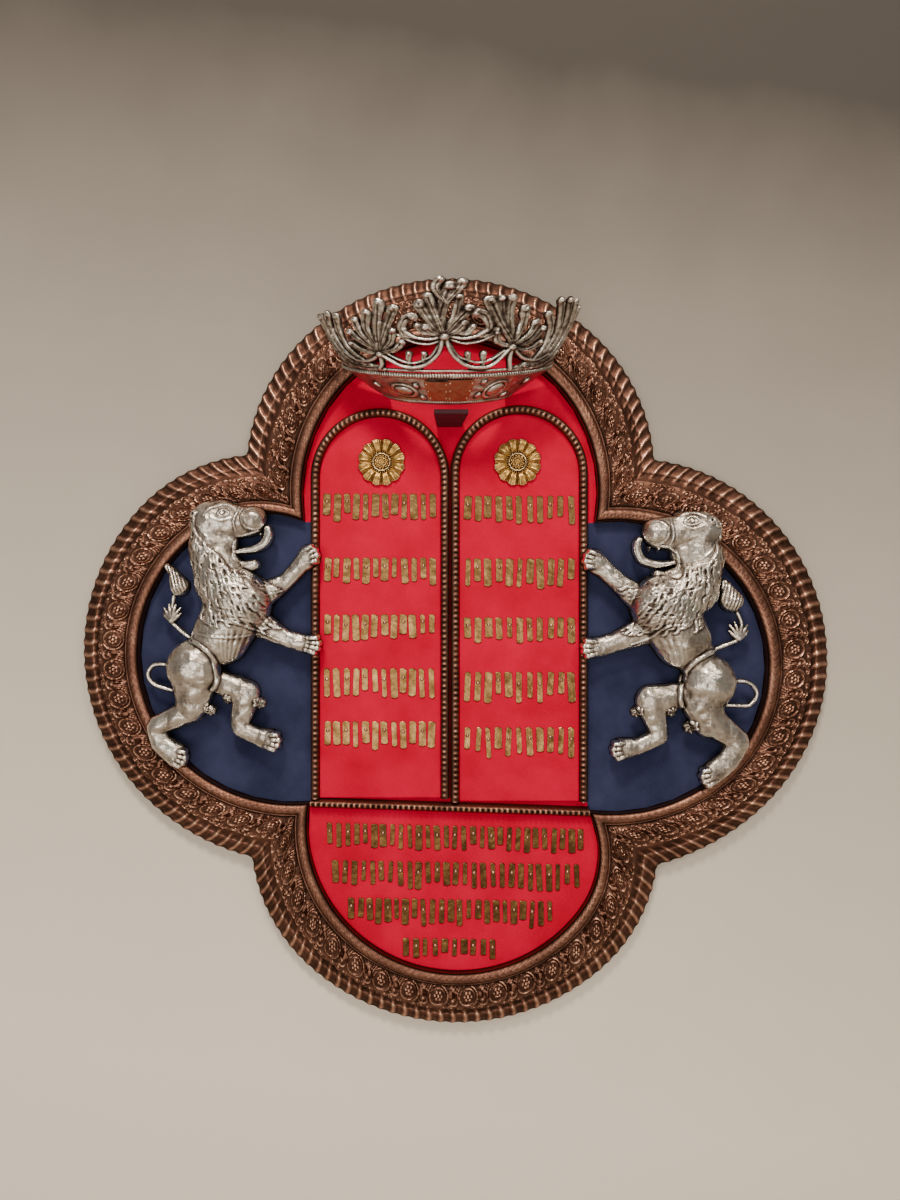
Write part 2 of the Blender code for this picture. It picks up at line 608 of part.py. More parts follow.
def crown_bosses():
    """Ovals and pearls set on the band"""
    body = bmesh.new()
    for place, share, wide, tall in BOSSES:
        x, depth, z = crown_place(place, share * BAND_HEIGHT, 1.0)
        size = Matrix.Diagonal((wide * MM, min(wide, tall) * 0.75 * MM, tall * MM, 1))
        bmesh.ops.create_icosphere(body, subdivisions=1, radius=1.0,
                                   matrix=Matrix.Translation(Vector((x, -depth, z)) * MM) @ size)
    mesh = bpy.data.meshes.new("bosses")
    body.to_mesh(mesh)
    body.free()
    return cutter(add_object("bosses", mesh, SILVER))


def crown_band():
    """The bowl-shaped band between two ropes"""
    turn = np.linspace(-math.pi / 2, math.pi / 2, 4)
    lower = [(ROPE_RADIUS * math.cos(a), ROPE_RADIUS * math.sin(a) + ROPE_RADIUS) for a in turn]
    upper = [(ROPE_RADIUS * math.cos(a), ROPE_RADIUS * math.sin(a) + BAND_HEIGHT) for a in turn]
    outside = [(0.0, 0.0)] + lower[1:] + [(0.6, 20.0), (0.6, 30.0)] + upper
    inside = [(-BAND_WALL, height) for height in (BAND_HEIGHT + ROPE_RADIUS, 28.0, 14.0, 0.0)]
    section = outside + inside
    steps = 16
    points = []
    for i in range(steps + 1):
        place = -1 + 2 * i / steps
        for proud, height in section:
            points.append(crown_place(place, height, proud))
    ring = len(section)
    faces = [list(range(ring)), list(range(len(points) - 1, len(points) - ring - 1, -1))]
    for i in range(steps):
        for k in range(ring):
            a, b = i * ring + k, i * ring + (k + 1) % ring
            faces.append([a, b, b + ring, a + ring])
    band = solid("crown_band", points, faces, SILVER, smooth_under=50)
    boolean(band, crown_bosses(), "UNION")
    return band


def flat_leaf(body, foot, height, lean, wall):
    """A leaf laid flat on a stem: round lobes fan out about its heart, the tallest at its tip"""
    run = Vector((math.sin(lean), 0.0, math.cos(lean)))
    heart = Vector((foot[0], 0.0, foot[1])) + run * height * LEAF_HEART
    add_hull(body, [((foot[0], 0.0, foot[1]), (3.5, wall, 3.5)), (tuple(heart), (4.0, wall, 4.0))])
    turn = np.radians(np.arange(-180.0, 180.0, LEAF_LOBE / 6))
    lobed = 0.62 + 0.38 * np.abs(np.cos(turn * 180 / LEAF_LOBE)) ** 0.6
    reach = height * (1 - LEAF_HEART) * lobed * np.interp(np.abs(np.degrees(turn)), LEAF_TURN, LEAF_REACH)
    count = len(turn)
    points = []
    for share, level in ((1.0, wall), (1.0, -0.2 * wall), (0.6, -1.3 * wall)):
        for angle, radius in zip(turn + lean, reach):
            out = radius * share
            points.append(heart + Vector((out * math.sin(angle), level, out * math.cos(angle))))
    faces = [list(range(count)), list(range(3 * count - 1, 2 * count - 1, -1))]
    for row in (0, count):
        for i in range(count):
            j = (i + 1) % count
            faces.append([row + i, row + j, row + count + j, row + count + i])
    mesh = bpy.data.meshes.new("leaf")
    mesh.from_pydata([point * MM for point in points], [], faces)
    body.from_mesh(mesh)
    bpy.data.meshes.remove(mesh)


def flat_arc(body, start, end, sag, radius):
    """A strap hanging between two points"""
    share = np.linspace(0.0, 1.0, 8)
    x = start[0] + (end[0] - start[0]) * share
    z = start[1] + (end[1] - start[1]) * share - sag * 4 * share * (1 - share)
    for i in range(len(share) - 1):
        add_hull(body, [((x[j], 0.0, z[j]), (radius, radius, radius)) for j in (i, i + 1)])


def crown_crest():
    """The pierced crest: five fleurons, florets and straps, made flat and then bent round"""
    body = bmesh.new()
    base = BAND_HEIGHT + ROPE_RADIUS + CREST_SEAT
    wall = CREST_WALL / 2
    add_hull(body, [((x, 0.0, base + 2.0), (2.5, wall, 2.0)) for x in (-CREST_HALF + 3, CREST_HALF - 3)])
    foot = base + CREST_FOOT
    for place, height, lean in FLEURONS:
        x = place * CREST_HALF
        flat_leaf(body, (x, foot), height - (foot - BAND_HEIGHT), lean, wall)
        add_hull(body, [((x, 0.0, z), (4.0, wall, 4.0)) for z in (base + 4, foot)])
    for place, height in FLORETS:
        flat_leaf(body, (place * CREST_HALF, base + 3), height - (base + 3 - BAND_HEIGHT), 0.0, wall)
    centres = [place * CREST_HALF for place, _, _ in FLEURONS]
    for left, right in zip(centres, centres[1:]):
        flat_arc(body, (left, foot), (right, foot), CREST_FOOT - 4, 2.6)
    bmesh.ops.recalc_face_normals(body, faces=body.faces)
    mesh = bpy.data.meshes.new("crest_flat")
    body.to_mesh(mesh)
    body.free()
    flat = cutter(add_object("crest_flat", mesh, SILVER))
    fuse = flat.modifiers.new("fuse", "REMESH")
    fuse.mode = "VOXEL"
    fuse.voxel_size = CREST_VOXEL * MM
    bent = settled_mesh(flat)
    bpy.data.objects.remove(flat, do_unlink=True)
    for vertex in bent.vertices:
        x, y, z = vertex.co / MM
        bent_x, depth, bent_z = crown_place(x / CREST_HALF, z, -y)
        vertex.co = Vector((bent_x, -depth, bent_z)) * MM
    made = add_object("crown_crest", bent, SILVER, smooth_under=50)
    thin = made.modifiers.new("thin", "DECIMATE")
    thin.ratio = CREST_FACES / (2 * len(bent.polygons))
    return made


def crown_patch(side, place, share, wide, tall):
    """A square of copper sheet riveted over the band"""
    steps = 4
    half = TOP_RING[0] * math.pi / 2
    points = []
    for proud in (4.5, 4.5 + PATCH_WALL):
        for j in range(3):
            height = share * BAND_HEIGHT + tall * (j / 2 - 0.5)
            for i in range(steps + 1):
                at = place + wide / half * (i / steps - 0.5)
                points.append(crown_place(at, height, proud))
    row, sheet = steps + 1, 3 * (steps + 1)
    faces = []
    for j in range(2):
        for i in range(steps):
            a = j * row + i
            faces.append([a, a + 1, a + row + 1, a + row])
            faces.append([sheet + a, sheet + a + row, sheet + a + row + 1, sheet + a + 1])
    edge = list(range(row)) + [j * row + row - 1 for j in (1, 2)]
    edge += list(range(2 * row + row - 2, 2 * row - 1, -1)) + [row]
    for a, b in zip(edge, edge[1:] + edge[:1]):
        faces.append([a, b, sheet + b, sheet + a])
    return solid(f"crown_patch_{side}", points, faces, PATCH_COPPER)


def crown_bracket():
    """The block that carries the crown's front off the centre panel"""
    points = []
    ends = ((BRACKET["wall"], PANEL_FRONT + GAP), (BRACKET["front"], BRACKET["reach"]))
    for (x_left, x_right, low), depth in ends:
        points += [(x_left, depth, low), (x_right, depth, low),
                   (x_right, depth, BRACKET["top"]), (x_left, depth, BRACKET["top"])]
    faces = [[0, 1, 2, 3], [7, 6, 5, 4]] + [[i, (i + 1) % 4, 4 + (i + 1) % 4, 4 + i] for i in range(4)]
    return solid("crown_bracket", points, faces, BRACKET_PAINT)


plate("back_board", board_outline(), 0.0, BOARD_FRONT, BOARD_WOOD)
copper_frame()
panels()
tablets()
foot_panel()
for name, centre in ROSETTES.items():
    rosette(name, centre)
for name, pose in LIONS.items():
    lion(name, pose)
crown_band()
crown_crest()
for name, (place, share, wide, tall) in PATCHES.items():
    crown_patch(name, place, share, wide, tall)
crown_bracket()
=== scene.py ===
# %% [markdown]
# # A quatrefoil wall plaque of embossed copper, red cloth and silver
#
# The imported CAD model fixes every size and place. This script gives each piece of the
# plaque its real surface: stamped copper, hammered silver, gilt brass and felt. Lengths
# are in millimetres until a mesh is made. x runs to the right and z up, and depth is the
# distance off the wall, so y = -depth.

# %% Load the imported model
import math

import bmesh
import bpy
import numpy as np
from mathutils.geometry import delaunay_2d_cdt
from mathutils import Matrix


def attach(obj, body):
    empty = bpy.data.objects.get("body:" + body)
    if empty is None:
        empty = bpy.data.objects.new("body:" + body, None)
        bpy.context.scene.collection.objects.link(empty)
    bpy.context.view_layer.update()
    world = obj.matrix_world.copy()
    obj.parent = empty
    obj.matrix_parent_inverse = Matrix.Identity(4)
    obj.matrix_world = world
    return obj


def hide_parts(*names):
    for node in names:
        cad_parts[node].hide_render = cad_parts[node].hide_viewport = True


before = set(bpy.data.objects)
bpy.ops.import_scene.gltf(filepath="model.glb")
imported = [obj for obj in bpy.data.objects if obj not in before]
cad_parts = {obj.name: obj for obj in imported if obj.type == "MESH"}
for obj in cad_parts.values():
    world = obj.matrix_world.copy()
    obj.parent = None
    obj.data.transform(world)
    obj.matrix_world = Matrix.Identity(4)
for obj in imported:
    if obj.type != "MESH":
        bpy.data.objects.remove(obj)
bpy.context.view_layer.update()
MM = 0.001
rng = np.random.default_rng(7)
print("nodes:", ", ".join(sorted(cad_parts)))

# %% [markdown]
# ## From arrays to meshes
#
# Nearly every surface here is a grid: a shape worked out as whole numpy arrays over two
# parameters, such as the way along a moulding and the way across it. One helper joins a
# grid's points into quads, one closes a moulding at its ends, and one turns points and
# faces into a finished piece.

# %% Helpers for grids and pieces
def grid_faces(rows, columns, start=0, wrap_columns=False):
    """Quads between neighbouring points of a grid that is stored row by row"""
    i = np.arange(rows - 1)[:, None]
    j = np.arange(columns if wrap_columns else columns - 1)[None, :]
    after = (j + 1) % columns
    corners = [i * columns + j, i * columns + after, (i + 1) * columns + after, (i + 1) * columns + j]
    return start + np.stack(np.broadcast_arrays(*corners), axis=-1).reshape(-1, 4)


def swept_faces(rows, columns):
    """Faces of a closed profile carried along a line: its sides, and a cap on each end"""
    caps = np.array([np.arange(columns)[::-1], (rows - 1) * columns + np.arange(columns)])
    return [grid_faces(rows, columns, wrap_columns=True), caps]


def make_piece(name, points, faces, finish, nodes=(), sharp_over=60, raised=0.0):
    """A closed piece from (x, depth, z) points in millimetres and groups of faces. raised is
    kept at each point for the material"""
    places = np.asarray(points, float).reshape(-1, 3) * (MM, -MM, MM)
    mesh = bpy.data.meshes.new(name)
    mesh.from_pydata(places.tolist(), [], [face for group in faces for face in group.tolist()])
    kept = mesh.attributes.new("raised", "FLOAT", "POINT")
    kept.data.foreach_set("value", np.broadcast_to(np.ravel(raised), len(places)).astype(np.float32))
    shell = bmesh.new()
    shell.from_mesh(mesh)
    bmesh.ops.recalc_face_normals(shell, faces=shell.faces)
    shell.to_mesh(mesh)
    shell.free()
    mesh.materials.append(finish)
    mesh.shade_smooth()
    mesh.set_sharp_from_angle(angle=math.radians(sharp_over))
    piece = bpy.data.objects.new(name, mesh)
    bpy.context.scene.collection.objects.link(piece)
    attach(piece, "root")
    if nodes:
        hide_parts(*nodes)
    print(f"{name}: {len(mesh.polygons)} faces")
    return piece


def smooth_step(value, low, high):
    """0 below low, 1 above high, and 3t^2 - 2t^3 between"""
    t = np.clip((value - low) / (high - low), 0, 1)
    return t * t * (3 - 2 * t)


def dome(distance, radius, height):
    """A round hump: height times the root of 1 - (distance / radius)^2, and 0 outside"""
    return height * np.sqrt(np.clip(1 - (distance / np.maximum(radius, 1e-6)) ** 2, 0, 1))


def blurred(height, reach):
    """The mean over a square of 2 reach + 1 cells, from running sums along each axis"""
    wide = 2 * reach + 1
    for axis in (0, 1):
        padded = np.pad(height, [(reach + 1, reach) if k == axis else (0, 0) for k in (0, 1)], mode="edge")
        running = np.cumsum(padded, axis=axis)
        high = np.take(running, range(wide, running.shape[axis]), axis=axis)
        low = np.take(running, range(0, running.shape[axis] - wide), axis=axis)
        height = (high - low) / wide
    return height


def standing_out(height, reach, full, less=0.0, lowest=-1.0):
    """A piece's raised: how far a point stands over the mean of its neighbours, with 1 at full
    millimetres, less a share, and never under lowest"""
    return np.clip((height - blurred(height, reach)) / full - less, lowest, 1)


# %% [markdown]
# ## Materials
#
# The copper is old sheet, stamped and never lacquered: brown oxide fills the hollows and
# only the rubbed ridges still show pink metal. The silver is beaten sheet with a warm
# tarnish. Each metal reads two things, the object's own coordinates for its patches and
# hammer marks, and a number kept at each point that says how far it stands out.

# %% Colours and nodes
def colour(hex_text):
    """An sRGB hex colour as linear numbers"""
    channels = [int(hex_text[i:i + 2], 16) / 255 for i in (0, 2, 4)]
    return (*[c / 12.92 if c <= 0.04045 else ((c + 0.055) / 1.055) ** 2.4 for c in channels], 1.0)


def set_inputs(tree, node, inputs):
    """Give each input a value, another node's socket, or a node, which stands for its first
    output"""
    for name, value in inputs.items():
        if isinstance(value, bpy.types.Node):
            value = value.outputs[0]
        if isinstance(value, bpy.types.NodeSocket):
            tree.links.new(value, node.inputs[name])
        else:
            node.inputs[name].default_value = value


def add_node(tree, kind, inputs, stops=None, **settings):
    """Add a node with its inputs and settings. stops holds the places and colours of a ramp"""
    node = tree.nodes.new(kind)
    for name, value in settings.items():
        setattr(node, name, value)
    set_inputs(tree, node, inputs)
    if stops:
        ramp = node.color_ramp
        while len(ramp.elements) < len(stops):
            ramp.elements.new(1.0)
        for element, (place, hex_text) in zip(ramp.elements, stops):
            element.position = place
            element.color = colour(hex_text)
    return node


def start_material(name):
    """A new material, its node tree, its shader and the socket of the object's coordinates"""
    made = bpy.data.materials.new(name)
    made.use_nodes = True
    tree = made.node_tree
    place = add_node(tree, "ShaderNodeTexCoord", {}).outputs["Object"]
    return made, tree, tree.nodes["Principled BSDF"], place


def per_metre(millimetres):
    """The scale that makes a pattern repeat about once in this many millimetres"""
    return 1000.0 / millimetres


# %% Aged metal
SPECK_MM, SPECK_SHARE = 3.0, 0.22
VERDIGRIS = "7f9c8c"


def aged_metal(name, tones, patch_mm, patch_share, dent_mm, dent_depth, dull, bright, facet_mm, facet_depth,
               bloom=0.0):
    """Sheet metal with oxide in its hollows. The tone is a half, plus half of raised, plus the
    patches and specks, and runs along tones from hollow to ridge. Facets are the hammer's,
    and bloom is how strongly a few green spots show"""
    made, tree, shader, place = start_material(name)
    patches = add_node(tree, "ShaderNodeTexNoise", {
        "Vector": place, "Scale": per_metre(patch_mm), "Detail": 5.0, "Roughness": 0.6})
    specks = add_node(tree, "ShaderNodeTexNoise", {
        "Vector": place, "Scale": per_metre(SPECK_MM), "Detail": 3.0})
    dents = add_node(tree, "ShaderNodeTexNoise", {
        "Vector": place, "Scale": per_metre(dent_mm), "Detail": 2.0})
    facets = add_node(tree, "ShaderNodeTexVoronoi", {
        "Vector": place, "Scale": per_metre(facet_mm), "Smoothness": 0.5}, feature="SMOOTH_F1")
    raised = add_node(tree, "ShaderNodeAttribute", {}, attribute_name="raised")
    patchy = add_node(tree, "ShaderNodeMath", {
        0: patches, 1: patch_share, 2: 0.5 - patch_share / 2 - SPECK_SHARE / 2}, operation="MULTIPLY_ADD")
    uneven = add_node(tree, "ShaderNodeMath", {0: specks, 1: SPECK_SHARE, 2: patchy},
                      operation="MULTIPLY_ADD")
    tone = add_node(tree, "ShaderNodeMath", {0: raised.outputs["Fac"], 1: 0.5, 2: uneven},
                    operation="MULTIPLY_ADD")
    tinted = add_node(tree, "ShaderNodeValToRGB", {"Fac": tone}, stops=tones)
    rough = add_node(tree, "ShaderNodeMapRange", {
        "Value": tone, "From Min": 0.1, "From Max": 0.9, "To Min": dull, "To Max": bright})
    beaten = add_node(tree, "ShaderNodeBump", {
        "Height": facets, "Distance": facet_depth * MM, "Strength": 1.0})
    bump = add_node(tree, "ShaderNodeBump", {
        "Height": dents, "Distance": dent_depth * MM, "Strength": 1.0, "Normal": beaten})
    spots = add_node(tree, "ShaderNodeMapRange", {
        "Value": patches, "From Min": 0.60, "From Max": 0.70, "To Max": bloom})
    spotted = add_node(tree, "ShaderNodeMix", {"Factor": spots, "A": tinted, "B": colour(VERDIGRIS)},
                       data_type="RGBA")
    set_inputs(tree, shader, {
        "Base Color": spotted.outputs["Result"], "Roughness": rough, "Normal": bump, "Metallic": 1.0})
    return made


# Old copper sheet, stamped in a die: brown oxide in the hollows, pink metal on the ridges
EMBOSSED_COPPER = aged_metal(
    "embossed_copper",
    [(0.0, "1a110d"), (0.3, "4c342a"), (0.55, "80594a"), (0.8, "bd8f78"), (1.0, "ecc3a8")],
    patch_mm=45, patch_share=0.5, dent_mm=1.8, dent_depth=0.3, dull=0.6, bright=0.32,
    facet_mm=7, facet_depth=0.3)
# Beaten silver sheet, never lacquered: warm grey, brown where the polish never reaches
SILVER = aged_metal(
    "beaten_silver",
    [(0.0, "2a221d"), (0.28, "6f6259"), (0.5, "b8aea2"), (0.75, "e6dfd5"), (1.0, "fbf7f0")],
    patch_mm=26, patch_share=0.9, dent_mm=4.5, dent_depth=0.7, dull=0.5, bright=0.24,
    facet_mm=11, facet_depth=1.3, bloom=0.35)
# Stamped brass under thin gold: yellow, with dark seams between the petals
GILT_BRASS = aged_metal(
    "gilt_brass", [(0.0, "24150b"), (0.3, "7c562c"), (0.6, "d0a35a"), (1.0, "ffe9bc")],
    patch_mm=12, patch_share=0.35, dent_mm=2.0, dent_depth=0.15, dull=0.5, bright=0.22,
    facet_mm=6, facet_depth=0.2)
# Sawn brass sheet, unpolished: dull olive brown
SAWN_BRASS = aged_metal(
    "sawn_brass", [(0.0, "2c1e15"), (0.35, "553d25"), (0.6, "7c5e38"), (1.0, "c09b68")],
    patch_mm=14, patch_share=0.9, dent_mm=3.0, dent_depth=0.3, dull=0.5, bright=0.3,
    facet_mm=8, facet_depth=0.6)
# New copper sheet of the repair: still pink, with a flat grain
PATCH_COPPER = aged_metal(
    "patch_copper", [(0.0, "4e281c"), (0.35, "935846"), (0.6, "b8785f"), (1.0, "ecb79e")],
    patch_mm=10, patch_share=0.4, dent_mm=3.5, dent_depth=0.25, dull=0.5, bright=0.36,
    facet_mm=6, facet_depth=0.5)
print("five metals")

# %% [markdown]
# ## Felt
#
# The panels and tablets are boards covered with thin wool felt. Felt has no weave: a mat
# of fibres that drinks the light, so it is rough all over, with a little sheen and a
# mottle where the nap lies one way or the other.

# %% Felt, wood and paint
NAP_MM, FIBRE_MM, GRAIN_MM = 60.0, 1.6, 5.0


def felt(name, dark, light, sheen_tint):
    """Wool felt in two close shades. The fibres are drawn coarser than real, to show"""
    made, tree, shader, place = start_material(name)
    nap = add_node(tree, "ShaderNodeTexNoise", {
        "Vector": place, "Scale": per_metre(NAP_MM), "Detail": 4.0, "Roughness": 0.55})
    fibres = add_node(tree, "ShaderNodeTexNoise", {
        "Vector": place, "Scale": per_metre(FIBRE_MM), "Detail": 3.0, "Roughness": 0.7})
    mixed = add_node(tree, "ShaderNodeMath", {0: fibres, 1: 0.35, 2: -0.17}, operation="MULTIPLY_ADD")
    tone = add_node(tree, "ShaderNodeMath", {0: nap, 1: mixed}, operation="ADD")
    tinted = add_node(tree, "ShaderNodeValToRGB", {"Fac": tone}, stops=[(0.25, dark), (0.75, light)])
    bump = add_node(tree, "ShaderNodeBump", {"Height": fibres, "Distance": 0.35 * MM, "Strength": 0.6})
    set_inputs(tree, shader, {
        "Base Color": tinted, "Normal": bump, "Roughness": 0.95, "Specular IOR Level": 0.02,
        "Sheen Weight": 0.03, "Sheen Roughness": 0.6, "Sheen Tint": colour(sheen_tint)})
    return made


RED_FELT = felt("red_felt", "c2002e", "e20440", "ff4070")
BLUE_FELT = felt("blue_felt", "262a44", "3d4262", "8c8a9c")


def painted_wood(name, dark, light, roughness):
    """Sawn softwood: long streaks of grain along x"""
    made, tree, shader, place = start_material(name)
    stretched = add_node(tree, "ShaderNodeMapping", {"Vector": place, "Scale": (0.06, 1.0, 1.0)})
    grain = add_node(tree, "ShaderNodeTexNoise", {
        "Vector": stretched, "Scale": per_metre(GRAIN_MM), "Detail": 5.0, "Distortion": 0.6})
    tinted = add_node(tree, "ShaderNodeValToRGB", {"Fac": grain}, stops=[(0.3, dark), (0.7, light)])
    bump = add_node(tree, "ShaderNodeBump", {"Height": grain, "Distance": 0.4 * MM})
    set_inputs(tree, shader, {"Base Color": tinted, "Normal": bump, "Roughness": roughness})
    return made


BOARD_WOOD = painted_wood("board_pine", "5a4029", "8a6844", 0.75)
# The crown bracket's dark maroon is painted shade: the block is coloured as dark as the shade it sits in
# under the crown
BRACKET_PAINTED_SHADE = painted_wood("bracket_painted_shade", "3a0d18", "5c1826", 0.55)
for node_name, finish in (("back_board", BOARD_WOOD), ("centre_panel", RED_FELT),
                          ("blue_panel_left", BLUE_FELT), ("blue_panel_right", BLUE_FELT),
                          ("crown_bracket", BRACKET_PAINTED_SHADE)):
    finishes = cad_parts[node_name].data.materials
    finishes.clear()
    finishes.append(finish)
print("felt, wood and paint on the flat nodes")

# %% [markdown]
# ## The copper frame
#
# Four arcs of stamped copper meet in mitres. Going in from the wall, each has a crimped
# rim, a cove where the crimps die out, a band of running scrolls with a flower in each,
# and a raised leaf moulding. A stamped sheet has one height at every point, so each lobe
# is a grid: steps along the lobe, steps across it, and a height worked out from both.

# %% Rails of the four lobes
# Each arc as centre x, centre z and radius, and the ends of its outer and inner rail
LOBES = {
    "top": dict(outer=(-7.6, 221.5, 288.6), inner=(-7.4, 226.4, 196.8), ends=("tl", "tr")),
    "right": dict(outer=(231.0, -10.0, 277.2), inner=(227.4, -20.2, 194.0), ends=("tr", "br")),
    "bottom": dict(outer=(1.2, -205.9, 302.1), inner=(2.5, -228.5, 206.0), ends=("br", "bl")),
    "left": dict(outer=(-224.3, 2.3, 284.9), inner=(-228.9, -2.4, 200.7), ends=("bl", "tl")),
}
MITRES = dict(
    tl=((-285.9, 268.6), (-205.5, 177.0)),
    tr=((271.1, 261.8), (188.0, 175.7)),
    br=((275.2, -292.4), (181.2, -216.5)),
    bl=((-279.0, -281.5), (-198.8, -204.3)),
)
MITRE_PULL = 0.22               # share of a lobe over which its arc is drawn to the mitre
FLUTE_PITCH = 16.8
SCROLL_PITCH = 40.0
# Shares of the way in from the rim
RIM_END, COVE_END, BAND_MIDDLE, BAND_END, MOULDING_CREST = 0.22, 0.35, 0.57, 0.77, 0.893
SHEET_BACK, INNER_EDGE = 12.3, 30.0     # depths of the frame's back and of its inner edge
# Depth where each part of the profile starts, and how far it rises
RIM_DEPTH, RIM_RISE = 13.6, 8.4
COVE_DEPTH, COVE_RISE = 20.3, 5.0
BAND_DEPTH, BAND_RISE = 25.3, 3.0
MOULDING_DEPTH, MOULDING_RISE = 25.6, 6.8


def rail(circle, start, end, count):
    """Points clockwise along an arc, drawn to its ends by the square of the nearness"""
    centre = np.array(circle[:2])
    start, end = np.array(start), np.array(end)
    first = math.atan2(*(start - centre)[::-1])
    last = math.atan2(*(end - centre)[::-1])
    if last > first:
        last -= 2 * math.pi
    share = np.linspace(0.0, 1.0, count + 1)
    angle = first + (last - first) * share
    arc = centre + circle[2] * np.c_[np.cos(angle), np.sin(angle)]
    near_start = np.clip(1 - share / MITRE_PULL, 0, 1)[:, None] ** 2
    return arc + (start - arc[0]) * near_start + (end - arc[-1]) * near_start[::-1]


def lobe_rails(lobe, count):
    """The outer and inner rail of a lobe, as arrays of (x, z)"""
    start, end = (MITRES[corner] for corner in lobe["ends"])
    return rail(lobe["outer"], start[0], end[0], count), rail(lobe["inner"], start[1], end[1], count)


def length_of(path):
    """Length of a line through points"""
    return float(np.linalg.norm(np.diff(path, axis=0), axis=1).sum())


# %% [markdown]
# The scroll is drawn from arcs, as a die cutter would: each is a centre, a radius, the
# angles it runs between and the width of its ridge, and it thins to nothing at its ends.

# %% The running scroll
# Along and across the band from the flower, radius, from and to angle, half width, height
SCROLL_ARCS = [
    (0, 0, 13.0, 95, 340, 1.3, 2.8), (1, 1, 10.4, -60, 150, 1.1, 2.2), (-1, -1, 8.0, 150, 330, 1.1, 2.2),
    (-2, -1, 16.2, -70, 20, 1.2, 2.4), (-2, -1, 19.0, -62, 26, 1.1, 2.2), (-3, -2, 22.4, -52, 32, 1.1, 2.0),
    (-3, -2, 25.4, -44, 36, 1.1, 1.8), (-4, -3, 28.8, -34, 34, 1.0, 1.5),
    (20, 6, 6.0, 10, 200, 1.2, 2.2), (22, 15, 4.2, -60, 190, 1.1, 2.2), (13, 17, 4.0, 0, 230, 1.1, 2.0),
    (20, -14, 6.0, 180, 350, 1.2, 1.8), (-8, 15, 3.4, -20, 220, 1.1, 1.8), (5, 18, 3.2, 0, 200, 1.1, 1.8),
    (26, -12, 3.4, 60, 300, 1.1, 1.9), (13, -18, 3.0, -30, 200, 1.0, 1.7),
    (-14, -14, 4.0, 150, 380, 1.1, 1.8), (-15, 9, 4.4, 60, 250, 1.1, 1.9),
]
# Along and across the band from the flower, radius and height
SCROLL_BEADS = [(22, 15, 2.0, 2.4), (13, 17, 1.9, 2.2), (-8, 15, 1.7, 2.0), (0, 0, 2.4, 3.2),
                (20, -8, 2.2, 2.2), (20, 5, 2.2, 2.4)]
FLOWER_PETALS, FLOWER_REACH, PETAL_HALF, PETAL_HEIGHT = 6, 4.4, 2.4, 2.3


def arc_ridge(along, across, arc):
    """A ridge along an arc: a dome of the distance to it, thinning by the root of a sine"""
    x, y, radius, start, end, half_width, height = arc
    dx, dy = along - x, across - y
    turn = np.mod(np.degrees(np.arctan2(dy, dx)) - start, 360.0) / (end - start)
    thin = np.where(turn <= 1, np.sin(np.pi * np.clip(turn, 0, 1)), 0.0) ** 0.5
    return dome(np.hypot(dx, dy) - radius, half_width * thin, height * thin) * (thin > 0.05)


def scroll_relief(along, across, pitch):
    """Height of the running scroll: the highest of its arcs, beads and petals"""
    best = np.zeros_like(along)
    for shift in (-1, 0, 1):
        here = np.mod(along, pitch) - pitch / 2 - shift * pitch
        for arc in SCROLL_ARCS:
            best = np.maximum(best, arc_ridge(here, across, arc))
        for x, y, radius, height in SCROLL_BEADS:
            best = np.maximum(best, dome(np.hypot(here - x, across - y), radius, height))
        petal = PETAL_HALF * (0.55 + 0.45 * np.cos(FLOWER_PETALS * np.arctan2(across, here)))
        best = np.maximum(best, dome(np.hypot(here, across) - FLOWER_REACH, petal, PETAL_HEIGHT))
    return best


# %% Heights across the frame
def frame_height(flute, scroll, share, across):
    """Depth of the sheet. flute and scroll count the crimps and scrolls along the lobe,
    share is the way in from the rim, and across is the distance from the band's middle.
    The rim rises by a power under one, the cove by a square and the band by a sine. The
    moulding is a dome, cut by leaves and veins that slant both ways"""
    phase = 2 * np.pi * (flute + 0.10 * np.sin(share * 14))
    crimp = np.cos(phase + 0.7 * np.sin(phase))
    rim = RIM_DEPTH + RIM_RISE * np.clip(share / RIM_END, 0, 1) ** 0.6
    rim = np.maximum(rim + 1.35 * crimp * smooth_step(share, -0.03, 0.05), SHEET_BACK + 0.6)
    way = scroll * SCROLL_PITCH
    stamped = scroll_relief(way, across / 1.12 - 0.5, SCROLL_PITCH) * smooth_step(share, 0.26, 0.32)
    cove = COVE_DEPTH + COVE_RISE * np.clip((share - 0.23) / 0.12, 0, 1) ** 2
    cove = cove + 1.1 * crimp * (1 - smooth_step(share, RIM_END, 0.33)) + stamped
    cushion = BAND_DEPTH + BAND_RISE * np.sin(np.pi * np.clip((share - COVE_END) / 0.41, 0, 1))
    cushion = cushion + stamped * (1 - smooth_step(share, 0.74, BAND_END))
    aside = np.abs(share - 0.885) * 90.0
    leaf = np.abs(np.sin(np.pi * (way / 10.0 + aside / 8.0)))
    vein = np.cos(2 * np.pi * (way / 5.0 - aside / 5.0))
    arch = dome(share - MOULDING_CREST, 0.098, MOULDING_RISE)
    moulding = MOULDING_DEPTH + arch * (0.93 + 0.05 * leaf + 0.02 * vein)
    moulding = np.maximum(moulding, 27.8 - 40 * np.maximum(share - 0.8, 0))
    return np.select([share < RIM_END, share < COVE_END, share <= BAND_END], [rim, cove, cushion], moulding)


print("a scroll of", len(SCROLL_ARCS), "arcs")

# %% Build the four lobes
RIM_COLUMNS, COVE_COLUMNS = slice(0, 12), slice(12, 20)
ACROSS = np.r_[np.linspace(0.0, RIM_END, 12), np.linspace(0.235, 0.76, 43),
               np.linspace(0.775, 0.985, 19), 1.0]
UNDER = np.array([1.0, 0.12])   # shares of the two points that close the profile behind
STEP = 1.2                      # between points along the lobe

